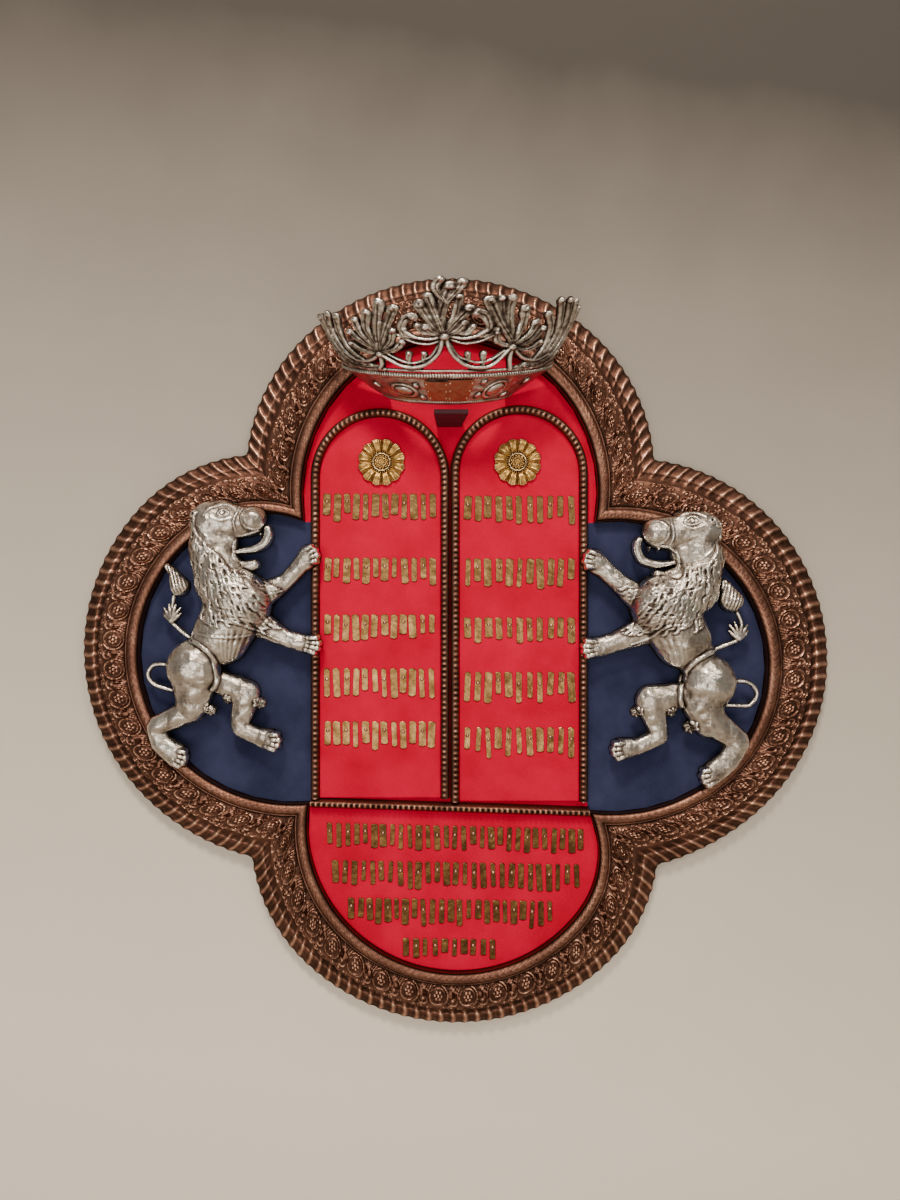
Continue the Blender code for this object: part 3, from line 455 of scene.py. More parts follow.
for name, lobe in LOBES.items():
    outer, inner = lobe_rails(lobe, 60)
    middle = outer + (inner - outer) * BAND_MIDDLE
    flutes = round(length_of(outer) / FLUTE_PITCH)
    scrolls = round(length_of(middle) / SCROLL_PITCH)
    count = round(length_of(middle) / STEP)
    outer, inner = lobe_rails(lobe, count)
    along = np.linspace(0.0, 1.0, count + 1)[:, None]
    share = ACROSS[None, :]
    width = np.linalg.norm(inner - outer, axis=1)[:, None]
    height = frame_height(along * flutes, along * scrolls, share, (BAND_MIDDLE - share) * width)
    height[:, -1] = INNER_EDGE
    wavy = share - 0.007 * np.cos(2 * np.pi * along * flutes) * (1 - smooth_step(share, 0.0, 0.12))
    behind = np.ones((count + 1, 2))
    shares = np.hstack([wavy, behind * UNDER])
    depths = np.hstack([height, behind * SHEET_BACK])
    flat = outer[:, None, :] + (inner - outer)[:, None, :] * shares[..., None]
    points = np.dstack([flat[..., 0], depths, flat[..., 1]])
    raised = np.hstack([standing_out(height, 4, 1.9, 0.06, -0.8), behind * -0.4])
    raised[:, RIM_COLUMNS] -= 0.12
    raised[:, COVE_COLUMNS] += 0.1
    make_piece(f"frame_{name}", points, swept_faces(*shares.shape), EMBOSSED_COPPER,
               ["copper_frame"], raised=raised)

# %% [markdown]
# ## Trims round the tablets
#
# A half-round copper strip, stamped with a row of small beads, is nailed along each arch
# and under both tablets. A profile is carried along the arch's line, and the stamp swells
# the profile at every bead.

# %% Paths and the stamped half round
TABLETS = dict(
    left=dict(x=(-197.0, -8.6), foot=-198.5, spring=236.0),
    right=dict(x=(-7.6, 179.0), foot=-203.0, spring=241.0),
)
TRIM_WIDTH, BEAD_PITCH = 12.5, 7.4
PANEL_FRONT, TABLET_FRONT, TRIM_FRONT = 18.3, 24.0, 33.6
ON_TABLET = TABLET_FRONT + 0.3          # back of what lies on a tablet


def arch_line(x_left, x_right, foot, spring, leg_steps, arch_steps):
    """Points from the left foot up, over the half circle and down to the right foot"""
    middle, radius = (x_left + x_right) / 2, (x_right - x_left) / 2
    leg = np.linspace(foot, spring, leg_steps + 1)
    angle = np.linspace(math.pi, 0.0, arch_steps + 1)
    arch = np.c_[middle + radius * np.cos(angle), spring + radius * np.sin(angle)]
    left = np.c_[np.full_like(leg, x_left), leg]
    right = np.c_[np.full_like(leg, x_right), leg[::-1]]
    return np.vstack([left[:-1], arch, right[1:]])


def stamped_strip(name, path, back, nodes):
    """A half round along a path. The beads lie along its top, where the cosine of the way
    times the sixth power of the sine of the turn over the profile is high, and are worn
    unevenly"""
    run = np.gradient(path, axis=0)
    run /= np.linalg.norm(run, axis=1)[:, None]
    across = np.c_[run[:, 1], -run[:, 0]]
    way = np.r_[0.0, np.cumsum(np.linalg.norm(np.diff(path, axis=0), axis=1))][:, None]
    turn = np.linspace(0.0, math.pi, 17)[None, :]
    uneven = rng.uniform(0.45, 1.1, (len(path), 1))
    uneven = np.interp(way, way[::5, 0], uneven[::5, 0])
    beads = np.cos(2 * np.pi * way / BEAD_PITCH) * uneven * np.sin(turn + 0.25) ** 6
    beads = beads - 0.25 * np.cos(2 * turn) ** 8
    shape = 0.93 + 0.07 * beads
    side = np.cos(turn) * TRIM_WIDTH / 2 * (0.88 + 0.12 * shape)
    depth = back + np.sin(turn) * (TRIM_FRONT - back) * shape
    points = np.dstack([path[:, :1] + across[:, :1] * side, depth, path[:, 1:] + across[:, 1:] * side])
    raised = np.clip(beads * 1.1 + 0.05, -1, 1) * np.sin(turn) - (1 - np.sin(turn)) * 0.5
    return make_piece(name, points, swept_faces(*side.shape), EMBOSSED_COPPER, nodes,
                      raised=raised)


# %% Lay the trims
for side, size in TABLETS.items():
    half = TRIM_WIDTH / 2
    x_left, x_right = size["x"]
    line = arch_line(x_left + half, x_right - half, size["foot"] + 0.3, size["spring"], 360, 230)
    stamped_strip(f"trim_{side}", line, ON_TABLET, [f"arch_trim_{side}"])

BAR_LEFT, BAR_RIGHT = (-196.6, -204.85), (180.4, -217.35)
stamped_strip("trim_foot", np.linspace(BAR_LEFT, BAR_RIGHT, 320), PANEL_FRONT, ["foot_bar"])

# %% [markdown]
# ## Tablets and foot panel
#
# Each is a board with felt pulled over its edge, so the edge is soft. The outline is
# drawn at a few insets, each a little further forward, and the last one is filled.

# %% Felt-covered boards
# Each inset with its share of the board's thickness
EDGE_INSETS = [(0.0, 0.0), (0.0, 0.72), (0.35, 0.90), (1.1, 0.98), (2.4, 1.0)]


def covered_board(name, outline_at, front, nodes):
    """A board whose front edge is rounded: outline_at(inset) gives its (x, z) points"""
    rows = []
    for inset, share in EDGE_INSETS:
        x, z = outline_at(inset).T
        rows.append(np.c_[x, np.full(len(x), PANEL_FRONT + (front - PANEL_FRONT) * share), z])
    return make_piece(name, rows, swept_faces(len(rows), len(x)), RED_FELT, nodes,
                      sharp_over=50)


for side, size in TABLETS.items():
    x_left, x_right = size["x"]
    covered_board(
        f"board_{side}",
        lambda inset: arch_line(
            x_left + inset, x_right - inset, size["foot"] + inset, size["spring"], 4, 48),
        TABLET_FRONT, [f"tablet_{side}"])


def foot_outline(inset):
    """The bottom lobe's inner rail, drawn in by 0.6 mm and the inset, and cut by the bar"""
    outer, inner = lobe_rails(LOBES["bottom"], 60)
    inward = (inner - outer) / np.linalg.norm(inner - outer, axis=1)[:, None]
    edge = inner + inward * (0.6 + inset)
    lowest = int(np.argmin(edge[:, 1]))
    top_right, top_left = -224.2 - inset, -211.7 - inset
    x_right = np.interp(-top_right, -edge[:lowest, 1], edge[:lowest, 0]) - 0.3
    x_left = np.interp(top_left, edge[lowest:, 1], edge[lowest:, 0]) + 0.3
    at = np.linspace(0.0, 1.0, 48) * (len(edge) - 9) + 4
    arc = [np.interp(at, np.arange(len(edge)), line) for line in edge.T]
    return np.vstack([[(x_right, top_right)], np.transpose(arc), [(x_left, top_left)]])


FOOT_FRONT = 21.0
covered_board("board_foot", foot_outline, FOOT_FRONT, ["foot_panel"])

# %% [markdown]
# ## Rows of cut brass
#
# Small pieces of sawn brass sheet are riveted in rows on the red felt. They stand here as
# plain upright bars, side by side. One outline is repeated with a different width,
# height and lean.

# %% Strokes and rivets
STROKE = np.array([(-0.5, 0.47), (0.0, 0.5), (0.5, 0.44), (0.5, -0.45), (0.05, -0.5), (-0.5, -0.46)])
STROKE_RISE = 1.7
# Points round a rivet's head, and how far up the half ball its rings lie
RIVET_SIDES, RIVET_RISE = 8, np.radians([0.0, 25.0, 50.0, 72.0])


def brass_strokes(name, strokes, back, tarnish_and_painted_shade):
    """Bevelled plates. Each stroke is its middle x and z, width, height and lean. tarnish_and_painted_shade
    takes their tone down the ramp; the foot panel's much larger value is painted shade, for the dark floor
    its plates reflect"""
    x, z, width, tall, lean = (column[:, None] for column in np.array(strokes, float).T)
    flat_x, flat_z = STROKE[:, 0] * width, STROKE[:, 1] * tall
    turned_x = flat_x * np.cos(lean) - flat_z * np.sin(lean)
    turned_z = flat_x * np.sin(lean) + flat_z * np.cos(lean)
    shrink = 1 - 0.9 / np.maximum(np.hypot(turned_x, turned_z), 2.0)
    rings = [np.stack([x + turned_x * scale, np.full_like(turned_x, back + STROKE_RISE * share),
                       z + turned_z * scale], axis=-1)
             for scale, share in ((1.0, 0.0), (1.0, 0.6), (shrink, 1.0))]
    count = len(STROKE)
    starts = np.arange(len(strokes))[:, None] * 3 * count
    sides = np.vstack([grid_faces(3, count, start, wrap_columns=True) for start in starts])
    caps = np.vstack([starts + np.arange(count)[::-1], starts + 2 * count + np.arange(count)])
    raised = np.tile(np.repeat([-1.0, 0.2, 0.6], count), len(strokes)) - tarnish_and_painted_shade
    return make_piece(name, np.stack(rings, axis=1), [sides, caps], SAWN_BRASS, sharp_over=30,
                      raised=raised)


def rivets(name, places, radius, finish):
    """Round heads: each (x, depth, z) carries four rings of a half ball and a pole"""
    rise = RIVET_RISE[:, None]
    turn = np.linspace(0.0, 2 * math.pi, RIVET_SIDES, endpoint=False)[None, :]
    rings = np.stack(np.broadcast_arrays(
        np.cos(rise) * np.cos(turn), np.sin(rise), np.cos(rise) * np.sin(turn)), axis=-1).reshape(-1, 3)
    pole = len(rings)
    head = np.vstack([rings, [(0.0, 1.0, 0.0)]]) * radius
    points = np.array(places)[:, None, :] + head
    starts = np.arange(len(points))[:, None] * (pole + 1)
    sides = np.vstack([grid_faces(len(rise), RIVET_SIDES, start, wrap_columns=True) for start in starts])
    j = np.arange(RIVET_SIDES)
    last = starts + pole - RIVET_SIDES
    fan = np.broadcast_arrays(last + j, last + np.roll(j, -1), starts + pole)
    top = np.stack(fan, axis=-1).reshape(-1, 3)
    return make_piece(name, points, [sides, starts + j[::-1], top], finish, raised=0.7)


# %% Set the rows
# Each row as left x, right x, top z, bottom z and drop to the right
ROWS = dict(
    left=[(-181, -24, 215, 175, 0), (-181, -24, 128, 89, 0), (-181, -26, 51, 13, 0),
          (-181, -26, -22, -64, 0), (-181, -26, -94, -137, 0)],
    right=[(9, 163, 212, 170, 0), (9, 163, 127, 84, 0), (9, 163, 47, 9, 0), (9, 163, -27, -71, 0),
           (9, 163, -102, -146, 0)],
    foot=[(-178, 176, -232, -268, 9), (-170, 170, -283, -322, 6), (-148, 134, -334, -373, 5),
          (-74, 56, -389, -417, 2)],
)


def stroke_row(x_left, x_right, top, bottom, drop, pitch):
    """Bars side by side that hang from one level, uneven in width, length and lean"""
    count = round((x_right - x_left) / pitch)
    x = np.linspace(x_left + pitch / 2, x_right - pitch / 2, count)
    x += rng.uniform(-0.06, 0.06, count) * pitch
    tall = (top - bottom) * rng.uniform(0.68, 1.0, count)
    middle = top - tall / 2 - drop * (x - x_left) / (x_right - x_left)
    wide = pitch * rng.uniform(0.46, 0.80, count)
    return np.c_[x, middle, wide, tall, rng.uniform(-0.06, 0.06, count)]


def lay_rows(name, front, pitch, tarnish_and_painted_shade):
    """All the rows of one panel, with a rivet in every second bar. They sink in by 0.1 mm"""
    back = front - 0.1
    strokes = np.vstack([stroke_row(*row, pitch) for row in ROWS[name]])
    brass_strokes(f"brass_{name}", strokes, back, tarnish_and_painted_shade)
    heads = strokes[::2]
    places = np.c_[heads[:, 0], np.full(len(heads), back + 1.1), heads[:, 1] + heads[:, 3] * 0.12]
    rivets(f"rivets_{name}", places, 2.7, EMBOSSED_COPPER)


# The foot's rows get 0.7 where the tablets get 0.2: painted shade, darker plates for the dark floor they
# reflect
lay_rows("left", TABLET_FRONT, 13.4, 0.2)
lay_rows("right", TABLET_FRONT, 13.4, 0.2)
lay_rows("foot", FOOT_FRONT, 12.4, 0.7)

# %% [markdown]
# ## Rosettes
#
# A stamped flower of thin gilt brass: scalloped petals with a groove between, a ring of
# beads, and a grained boss. The grid here is polar, steps of angle by steps of radius.

# %% Stamp the rosettes
ROSETTES = dict(left=(-100.9, 257.0), right=(83.4, 257.0))
ROSETTE_RADIUS, NAIL_CIRCLE = 32.5, 31.4
PETALS, RINGS, SPOKES = 12, 44, 300
SHEET, PETAL_RISE, BOSS_RISE, ROSETTE_MOST = 1.2, 4.2, 5.0, 8.4         # heights off the tablet


def rosette(side, centre):
    """Height over angle and share of the radius, with a petal's arch across each twelfth"""
    share = np.linspace(0.02, 1.0, RINGS)[:, None]
    turn = np.linspace(0.0, 2 * math.pi, SPOKES, endpoint=False)[None, :]
    petal = np.abs(np.cos(PETALS / 2 * turn + math.pi / 2))
    reach = ROSETTE_RADIUS * (0.90 + 0.10 * petal ** 0.5)
    arch = SHEET + PETAL_RISE * petal ** 0.4 * np.sin(np.pi * np.clip((share - 0.42) / 0.66, 0, 1)) ** 0.8
    vein = 0.5 * np.cos(3 * np.pi * petal) * smooth_step(share, 0.5, 0.7)
    beads = dome((share - 0.45) * 32, 2.0, 3.0) * (0.55 + 0.45 * np.cos(turn * 30))
    ring = dome((share - 0.36) * 32, 1.6, 3.4)
    grains = np.cos(turn * 12) * np.cos(share * 56) * smooth_step(share, 0.06, 0.14)
    boss = dome(share, 0.34, BOSS_RISE) + 0.9 * grains * (1 - smooth_step(share, 0.26, 0.36))
    height = np.where(share > 0.42, arch + vein, 0.0)
    height = np.maximum(height, SHEET + np.maximum(beads, np.maximum(ring, boss)))
    height = np.minimum(height, ROSETTE_MOST)
    height[-1] = SHEET / 2
    radius = share * reach
    x, z = centre[0] + radius * np.cos(turn), centre[1] + radius * np.sin(turn)
    points = np.dstack([x, ON_TABLET + height, z])
    points = np.vstack([points, points[-1:] * (1, 0, 1) + (0, ON_TABLET, 0)])
    seam = 0.6 * (1 - petal) ** 4 * smooth_step(share, 0.5, 0.6)
    raised = np.vstack([standing_out(height, 2, 0.7, seam), np.full(SPOKES, -1.0)])
    return make_piece(f"flower_{side}", points, swept_faces(RINGS + 1, SPOKES), GILT_BRASS,
                      [f"rosette_{side}"], sharp_over=70, raised=raised)


for side, centre in ROSETTES.items():
    rosette(side, centre)
seams = np.linspace(0.0, 2 * math.pi, PETALS, endpoint=False) + math.pi / PETALS
nails = [(x + NAIL_CIRCLE * math.cos(a), ON_TABLET + 0.9, z + NAIL_CIRCLE * math.sin(a))
         for x, z in ROSETTES.values() for a in seams]
rivets("rosette_nails", nails, 1.8, EMBOSSED_COPPER)

# %% [markdown]
# ## Reliefs cut from a grid
#
# The lions and the crown's crest are sheet metal beaten up from behind and cut out. Such
# a sheet has one height at every point, like a map, and ends where the outline's own
# number, the field, falls to zero. The helper keeps the cells inside, slides the points
# of the edge onto the outline, and closes the shell with a wall and a back. A flat back
# needs no inner points: Blender's own triangulation joins the points of its edge, and the
# triangles whose middle lies in a gap are left out.

# %% Cut a shell from a height map
def relief_shell(x, z, field, front, back, flat_back=False):
    """Points and faces of the part of a grid where field is over 0. An edge point moves by
    -field / |slope|^2 times the slope, which lands it on the outline"""
    pitch_x, pitch_z = x[1] - x[0], z[1] - z[0]
    inside = field > 0
    kept = inside[:-1, :-1] | inside[1:, :-1] | inside[:-1, 1:] | inside[1:, 1:]
    slope_z, slope_x = np.gradient(field, pitch_z, pitch_x)
    steep = np.maximum(slope_x ** 2 + slope_z ** 2, 0.05)
    slide = np.where(inside, 0.0, -field / steep)
    move_x = np.clip(slide * slope_x, -pitch_x, pitch_x)
    move_z = np.clip(slide * slope_z, -pitch_z, pitch_z)
    flat_x, flat_z = x[None, :] + move_x, z[:, None] + move_z
    rows, columns = field.shape
    i, j = np.nonzero(kept)
    a = i * columns + j
    quads = np.c_[a, a + 1, a + columns + 1, a + columns]
    total = rows * columns
    ringed = np.pad(kept, 1)
    walls = []
    for (di, dj), (p, q) in (((-1, 0), (0, 1)), ((0, 1), (1, 2)), ((1, 0), (2, 3)), ((0, -1), (3, 0))):
        open_side = ~ringed[i + 1 + di, j + 1 + dj]
        start, end = quads[open_side, p], quads[open_side, q]
        walls.append(np.c_[end, start, start + total, end + total])
    if flat_back:
        rim, ends = np.unique(np.vstack(walls)[:, 2:], return_inverse=True)
        places = np.c_[(rim - total) % columns, (rim - total) // columns].astype(float)
        filled = delaunay_2d_cdt(places.tolist(), ends.reshape(-1, 2).tolist(), [], 0, 1e-6)
        corners = np.array([[filled[3][corner][0] for corner in face] for face in filled[2]])
        middle = places[corners].mean(axis=1).astype(int)
        behind = rim[corners[kept[middle[:, 1], middle[:, 0]]]]
    else:
        behind = quads[:, ::-1] + total
    groups = [quads, *walls, behind]
    used = np.unique(np.concatenate([group.ravel() for group in groups]))
    both_x, both_z = np.tile(flat_x.ravel(), 2), np.tile(flat_z.ravel(), 2)
    levels = np.r_[front.ravel(), back.ravel()]
    return np.c_[both_x, levels, both_z][used], [np.searchsorted(used, group) for group in groups], used


def limb_field(x, z, steps):
    """For a limb through (x, z, radius) steps: the radius less the distance to its line, and
    the height of a ball of that radius there, the root of radius^2 - distance^2. Each
    stretch is worked out only within a margin round it"""
    field = np.full(np.broadcast(x, z).shape, -1e3)
    height = np.zeros_like(field)
    for (xa, za, ra), (xb, zb, rb) in list(zip(steps, steps[1:])) or [(steps[0], steps[0])]:
        margin = max(ra, rb) + 12.0
        columns = slice(*np.searchsorted(x[0], (min(xa, xb) - margin, max(xa, xb) + margin)))
        rows = slice(*np.searchsorted(z[:, 0], (min(za, zb) - margin, max(za, zb) + margin)))
        near_x, near_z = x[:, columns], z[rows]
        run = max((xb - xa) ** 2 + (zb - za) ** 2, 1e-9)
        share = np.clip(((near_x - xa) * (xb - xa) + (near_z - za) * (zb - za)) / run, 0, 1)
        radius = ra + (rb - ra) * share
        distance = np.hypot(near_x - xa - (xb - xa) * share, near_z - za - (zb - za) * share)
        field[rows, columns] = np.maximum(field[rows, columns], radius - distance)
        ball = np.sqrt(np.clip(radius ** 2 - distance ** 2, 0, None))
        height[rows, columns] = np.maximum(height[rows, columns], ball)
    return field, height


def smooth_line(steps, parts=6):
    """Steps on a Catmull-Rom curve through the given ones, which rounds their corners"""
    knots = np.array([steps[0], *steps, steps[-1]], float)
    t = np.linspace(0, 1, parts, endpoint=False)[:, None]
    curves = [0.5 * (2 * b + (c - a) * t + (2 * a - 5 * b + 4 * c - d) * t ** 2
                     + (3 * b - a - 3 * c + d) * t ** 3)
              for a, b, c, d in zip(knots, knots[1:], knots[2:], knots[3:])]
    return np.vstack([*curves, knots[-1:]])


def even_line(places, radius, parts=6):
    """A smooth line of one radius through the places"""
    return smooth_line([(*place, radius) for place in places], parts)


def blend_max(first, second, soft):
    """The larger of two, rounded where they are closer than soft: max + soft/4 (1 - gap/soft)^2"""
    near = np.clip(1 - np.abs(first - second) / soft, 0, 1)
    return np.maximum(first, second) + near ** 2 * soft / 4


print("relief helpers ready")

# %% [markdown]
# ## The lions
#
# Each lion is beaten from one sheet: a smooth body, a mane of overlapping flame locks,
# a round face with an open mouth, and paws with four toes. The body is a soft union of
# limbs, each a line that carries a radius. The locks, ribs, toes and face are added to
# its height.

# %% The lions' limbs
# Steps of x towards the tablets, z and radius, from the hip. Lines start with their height,
# and the tail, stem and ring have one radius each
LIONS = dict(
    left=dict(
        hip=(-350.5, -20.0), faces=1,
        limbs=[
            [(0, 0, 38.5)], [(-1, -29, 29), (-3, -46, 24)], [(60, 86, 44), (36, 42, 40), (19, 24, 26)],
            [(20, 159, 29), (38, 114, 38)], [(38, 114, 38), (60, 86, 45)], [(23, 193, 31), (36, 197, 28)],
            [(22, 168, 29), (38, 166, 22)], [(50, 195, 24), (74, 195, 20.5)],
            [(-5, -58, 17), (-48, -77, 14)], [(-52, -82, 13.5), (-45, -102, 14.5), (-23, -119, 17)],
            [(30, -18, 16), (69, -35, 20)], [(68, -45, 18.5), (61, -73, 14)],
            [(61, -82, 12), (84, -93, 12.5), (102, -98, 16)],
            [(86, 93, 20), (122, 115, 11.5), (140, 135, 12), (153, 149, 16.5)],
            [(84, 60, 20), (122, 39, 12.5), (144, 32, 13), (155, 31, 14)], [(30, 211, 10), (46, 212, 9)],
            [(80, 199, 17)], [(44, 148, 12)],
        ],
        jaw=[(52, 140, 8), (58, 136, 8), (66, 134, 8.5), (81, 137, 8.3)],
        tongue=[(56, 154, 4.0), (66, 156, 4.8), (79, 158, 5.6), (89, 162, 6.6), (96, 168, 7.2),
                (100, 177, 7.2), (99, 185, 6.0)],
        face=[[(32, 192, 27), (78, 198, 24)], [(36, 182, 25), (44, 168, 17), (50, 150, 9), (58, 140, 9)]],
        mane=[(2, 196, 14), (16, 160, 31), (38, 114, 41), (62, 86, 47)],
        mane_edge=([0, 38, 53, 73, 97, 115], [69, 64, 66, 57, 51, 62]),
        ears=[(1, 205, 6.5)], eye=(42, 205.5), nose=(81, 199, 15.5), teeth=[(90, 178, -6)],
        lines=[
            (1.8, [(36, 203.5, 0.8), (39, 208.5, 1.4), (46, 209.5, 1.4), (50.5, 204.5, 0.8)]),
            (1.3, [(36, 203.5, 0.8), (42.5, 201, 1.2), (50.5, 204, 0.8)]),
            (1.2, [(26, 200, 0.9), (40, 195, 1.7), (53, 199, 0.9)]),
            (2.4, [(17, 202, 1.0), (24, 211, 2.2), (38, 217, 2.8), (49, 218, 2.4), (57, 213, 1.2)]),
            (1.8, [(62, 219, 1.0), (61, 208, 1.7), (56, 195, 1.7), (58, 181, 1.0)]),
            (1.2, [(71, 214, 0.9), (67, 198, 1.5), (72, 184, 0.9)]),
            (2.2, [(91, 183, 1.2), (73, 177, 2.0), (62, 172, 2.0), (56, 165, 2.0), (55, 154, 2.0),
                   (58, 145, 2.0), (67, 141, 1.4)]),
            (1.0, [(9, 190, 0.9), (19, 176, 1.5), (33, 167, 0.9)]),
            (1.8, [(53, 66, 1.0), (73, 56, 1.7), (95, 46, 1.7), (114, 36, 1.0)]),
            (1.4, [(8, 46, 1.0), (50, 41, 2.2), (92, 45, 1.0)]),
        ],
        ribs=((64, 28, 30), (40, -35)),
        paws=[(153, 149, 20), (155, 31, -10), (-23, -119, -22), (102, -98, -12)],
        tufts=[(22, -58, 8.5), (88, -48, 9), (44, -43, 7.5)],
        tail=[(27, -29), (34, -13), (29, 15), (15, 29), (-9, 41), (-31, 60)],
        flower=(-31, 68, 12), stem=[(-31, 65), (-29, 92), (-24, 106)],
        bulb=[(-20, 109, 14.5), (-29, 127, 7), (-37, 135, 4.5)],
        ring=[(-30, 1), (-46, 4), (-57, 2), (-63, -7), (-62, -15), (-56, -22), (-45, -27), (-22, -33)],
    ),
    right=dict(
        hip=(339.6, -39.9), faces=-1,
        limbs=[
            [(0, 0, 37)], [(8, -31, 29), (0, -52, 24)], [(62, 101, 44), (37, 57, 40), (20, 36, 29)],
            [(8, 166, 29), (24, 126, 37)], [(24, 126, 37), (62, 101, 45)], [(11, 201, 29), (28, 203, 26)],
            [(14, 176, 28), (32, 172, 22)], [(44, 200, 24), (67, 199, 22)],
            [(-5, -54, 21), (-37, -77, 16)], [(-40, -82, 14.5), (-25, -106, 16), (-1, -125, 16)],
            [(36, -17, 17), (78, -25, 22.5)], [(76, -40, 18.5), (68, -64, 13.5)],
            [(66, -73, 12), (94, -86, 12), (118, -90, 16)],
            [(88, 106, 20), (122, 134, 13.5), (141, 152, 14), (155, 163, 16.5)],
            [(90, 68, 20), (127, 53, 14), (146, 47, 14.5), (157, 46, 15)], [(20, 219, 10), (36, 219, 9)],
            [(73, 200, 18)], [(37, 148, 13)],
        ],
        jaw=[(44, 145, 8.5), (50, 140, 9), (60, 138, 9.3), (70, 142, 9)],
        tongue=[(48, 160, 4.2), (62, 158, 5.2), (76, 158, 6.2), (90, 163, 6.8), (97, 174, 7.0),
                (98, 184, 6.8), (95, 190, 5.6)],
        face=[[(16, 203, 27), (68, 200, 23)], [(22, 184, 27), (38, 174, 19)], [(46, 158, 9), (50, 146, 9)]],
        mane=[(-8, 208, 14), (8, 166, 31), (24, 126, 41), (62, 101, 47)],
        mane_edge=([0, 34, 65, 82, 94, 106], [85, 78, 75, 61, 63, 78]),
        ears=[(0, 216, 6.5), (-9, 211, 5.5)], eye=(27, 215.5), nose=(74, 200, 16.5),
        teeth=[(82, 180, -7), (70, 178, -6), (72, 146, 6), (64, 145, 6)],
        lines=[
            (2.0, [(38, 213, 0.9), (31, 220, 1.7), (22, 220.5, 1.7), (16, 214, 0.9)]),
            (1.4, [(38, 213, 0.8), (28, 209.5, 1.4), (16, 213, 0.8)]),
            (1.2, [(37, 208, 0.9), (26, 204.5, 1.7), (12, 209, 0.9)]),
            (2.4, [(45, 219, 1.0), (37, 226, 2.4), (22, 228, 2.6), (8, 221, 1.2)]),
            (1.8, [(52, 227, 1.0), (54, 212, 1.7), (52, 195, 1.7), (56, 182, 1.0)]),
            (2.2, [(79, 182, 1.2), (58, 180, 2.0), (48, 173, 2.0), (44, 163, 2.0), (46, 152, 2.0),
                   (55, 147, 1.4)]),
            (1.0, [(-7, 190, 0.9), (2, 176, 1.5), (14, 165, 0.9)]),
            (1.8, [(34, 77, 1.0), (65, 75, 1.7), (82, 60, 1.8), (106, 50, 1.2)]),
            (1.4, [(14, 82, 1.0), (4, 66, 1.8), (-1, 53, 1.0)]),
        ],
        ribs=((60, 40, 26), (20, -40)),
        paws=[(155, 163, 12), (157, 46, -4), (-1, -125, -18), (118, -90, -12)],
        tufts=[(98, -40, 9), (51, -40, 8), (26, -60, 10.5)],
        tail=[(38, -33), (42, -16), (32, 20), (13, 36), (-8, 44), (-36, 55)],
        flower=(-40, 64, 13), stem=[(-40, 61), (-44, 78), (-36, 98)],
        bulb=[(-29, 110, 17), (-23, 126, 9.5), (-20, 133, 6)],
        ring=[(-28, 1), (-46, 1), (-57, -3), (-64, -12), (-63, -22), (-57, -29), (-50, -32), (-20, -31)],
    ),
)
TAIL_RADIUS, STEM_RADIUS, RING_RADIUS = 3.5, 3.0, 3.2
# Depth of a lion's flat back, its thickness at the edge and the most it stands out from there
LION_BACK, LION_SKIRT, LION_MOST = 34.3, 0.8, 41.0
LION_RELIEF = 0.82              # a limb stands out this much for each unit of its radius
LION_PITCH = 0.95
LOCK_LENGTH, LOCK_HALF_WIDTH = 25.0, 3.3
LOCK_STEP, LOCK_ROW = 6.2, 8.0
LOCK_LEAN = ([-10, 20, 50, 80, 105], [12, 34, 50, 64, 78])      # degrees at each x
FLOWER_LEAVES = (-1.5, -0.8, -0.25, 0.3, 0.8, 1.5)              # their turns from upright


# %% Flame locks of the mane
def mane_locks(x, z, mask):
    """Heights of overlapping locks with their roots where mask is over a half. A lock is a
    flame: its half width follows a sine, it bends like an S, and it rises towards its tip"""
    locks = np.zeros_like(mask)
    pitch = x[1] - x[0]
    reach = int(LOCK_LENGTH * 1.1 / pitch)
    root_x, root_z = np.meshgrid(np.arange(x[0], x[-1], LOCK_STEP), np.arange(z[0], z[-1], LOCK_ROW))
    root_x[::2] += LOCK_STEP / 2
    root_x += rng.uniform(-2.4, 2.4, root_x.shape)
    root_z += rng.uniform(-3.6, 3.6, root_z.shape)
    columns = np.clip(((root_x - x[0]) / pitch).astype(int), 0, len(x) - 1)
    rows = np.clip(((root_z - z[0]) / pitch).astype(int), 0, len(z) - 1)
    rooted = mask[rows, columns] > 0.5
    for row, column, rx, rz in zip(rows[rooted], columns[rooted], root_x[rooted], root_z[rooted]):
        lean = math.radians(np.interp(rx, *LOCK_LEAN) + rng.uniform(-16, 16))
        window = (slice(max(row - reach, 0), row + reach), slice(max(column - reach, 0), column + reach))
        dx, dz = x[None, window[1]] - rx, z[window[0], None] - rz
        along = np.clip((dx * math.sin(lean) - dz * math.cos(lean)) / LOCK_LENGTH, 0, 1)
        aside = dx * math.cos(lean) + dz * math.sin(lean)
        aside = aside - 2.6 * np.sin(2 * np.pi * along + rng.uniform(-0.4, 0.4))
        half = LOCK_HALF_WIDTH * np.sin(np.pi * along) ** 0.7
        lock = dome(aside, half, 1.0) * (1.4 + 1.5 * along) * rng.uniform(0.8, 1.15)
        locks[window] = np.maximum(locks[window], lock * (half > 0.1))
    return locks


def chased_line(x, z, steps, height):
    """A raised line through (x, z, half width) steps, as high as height where it is widest"""
    return height * limb_field(x, z, smooth_line(steps, 4))[1] / max(width for _, _, width in steps)


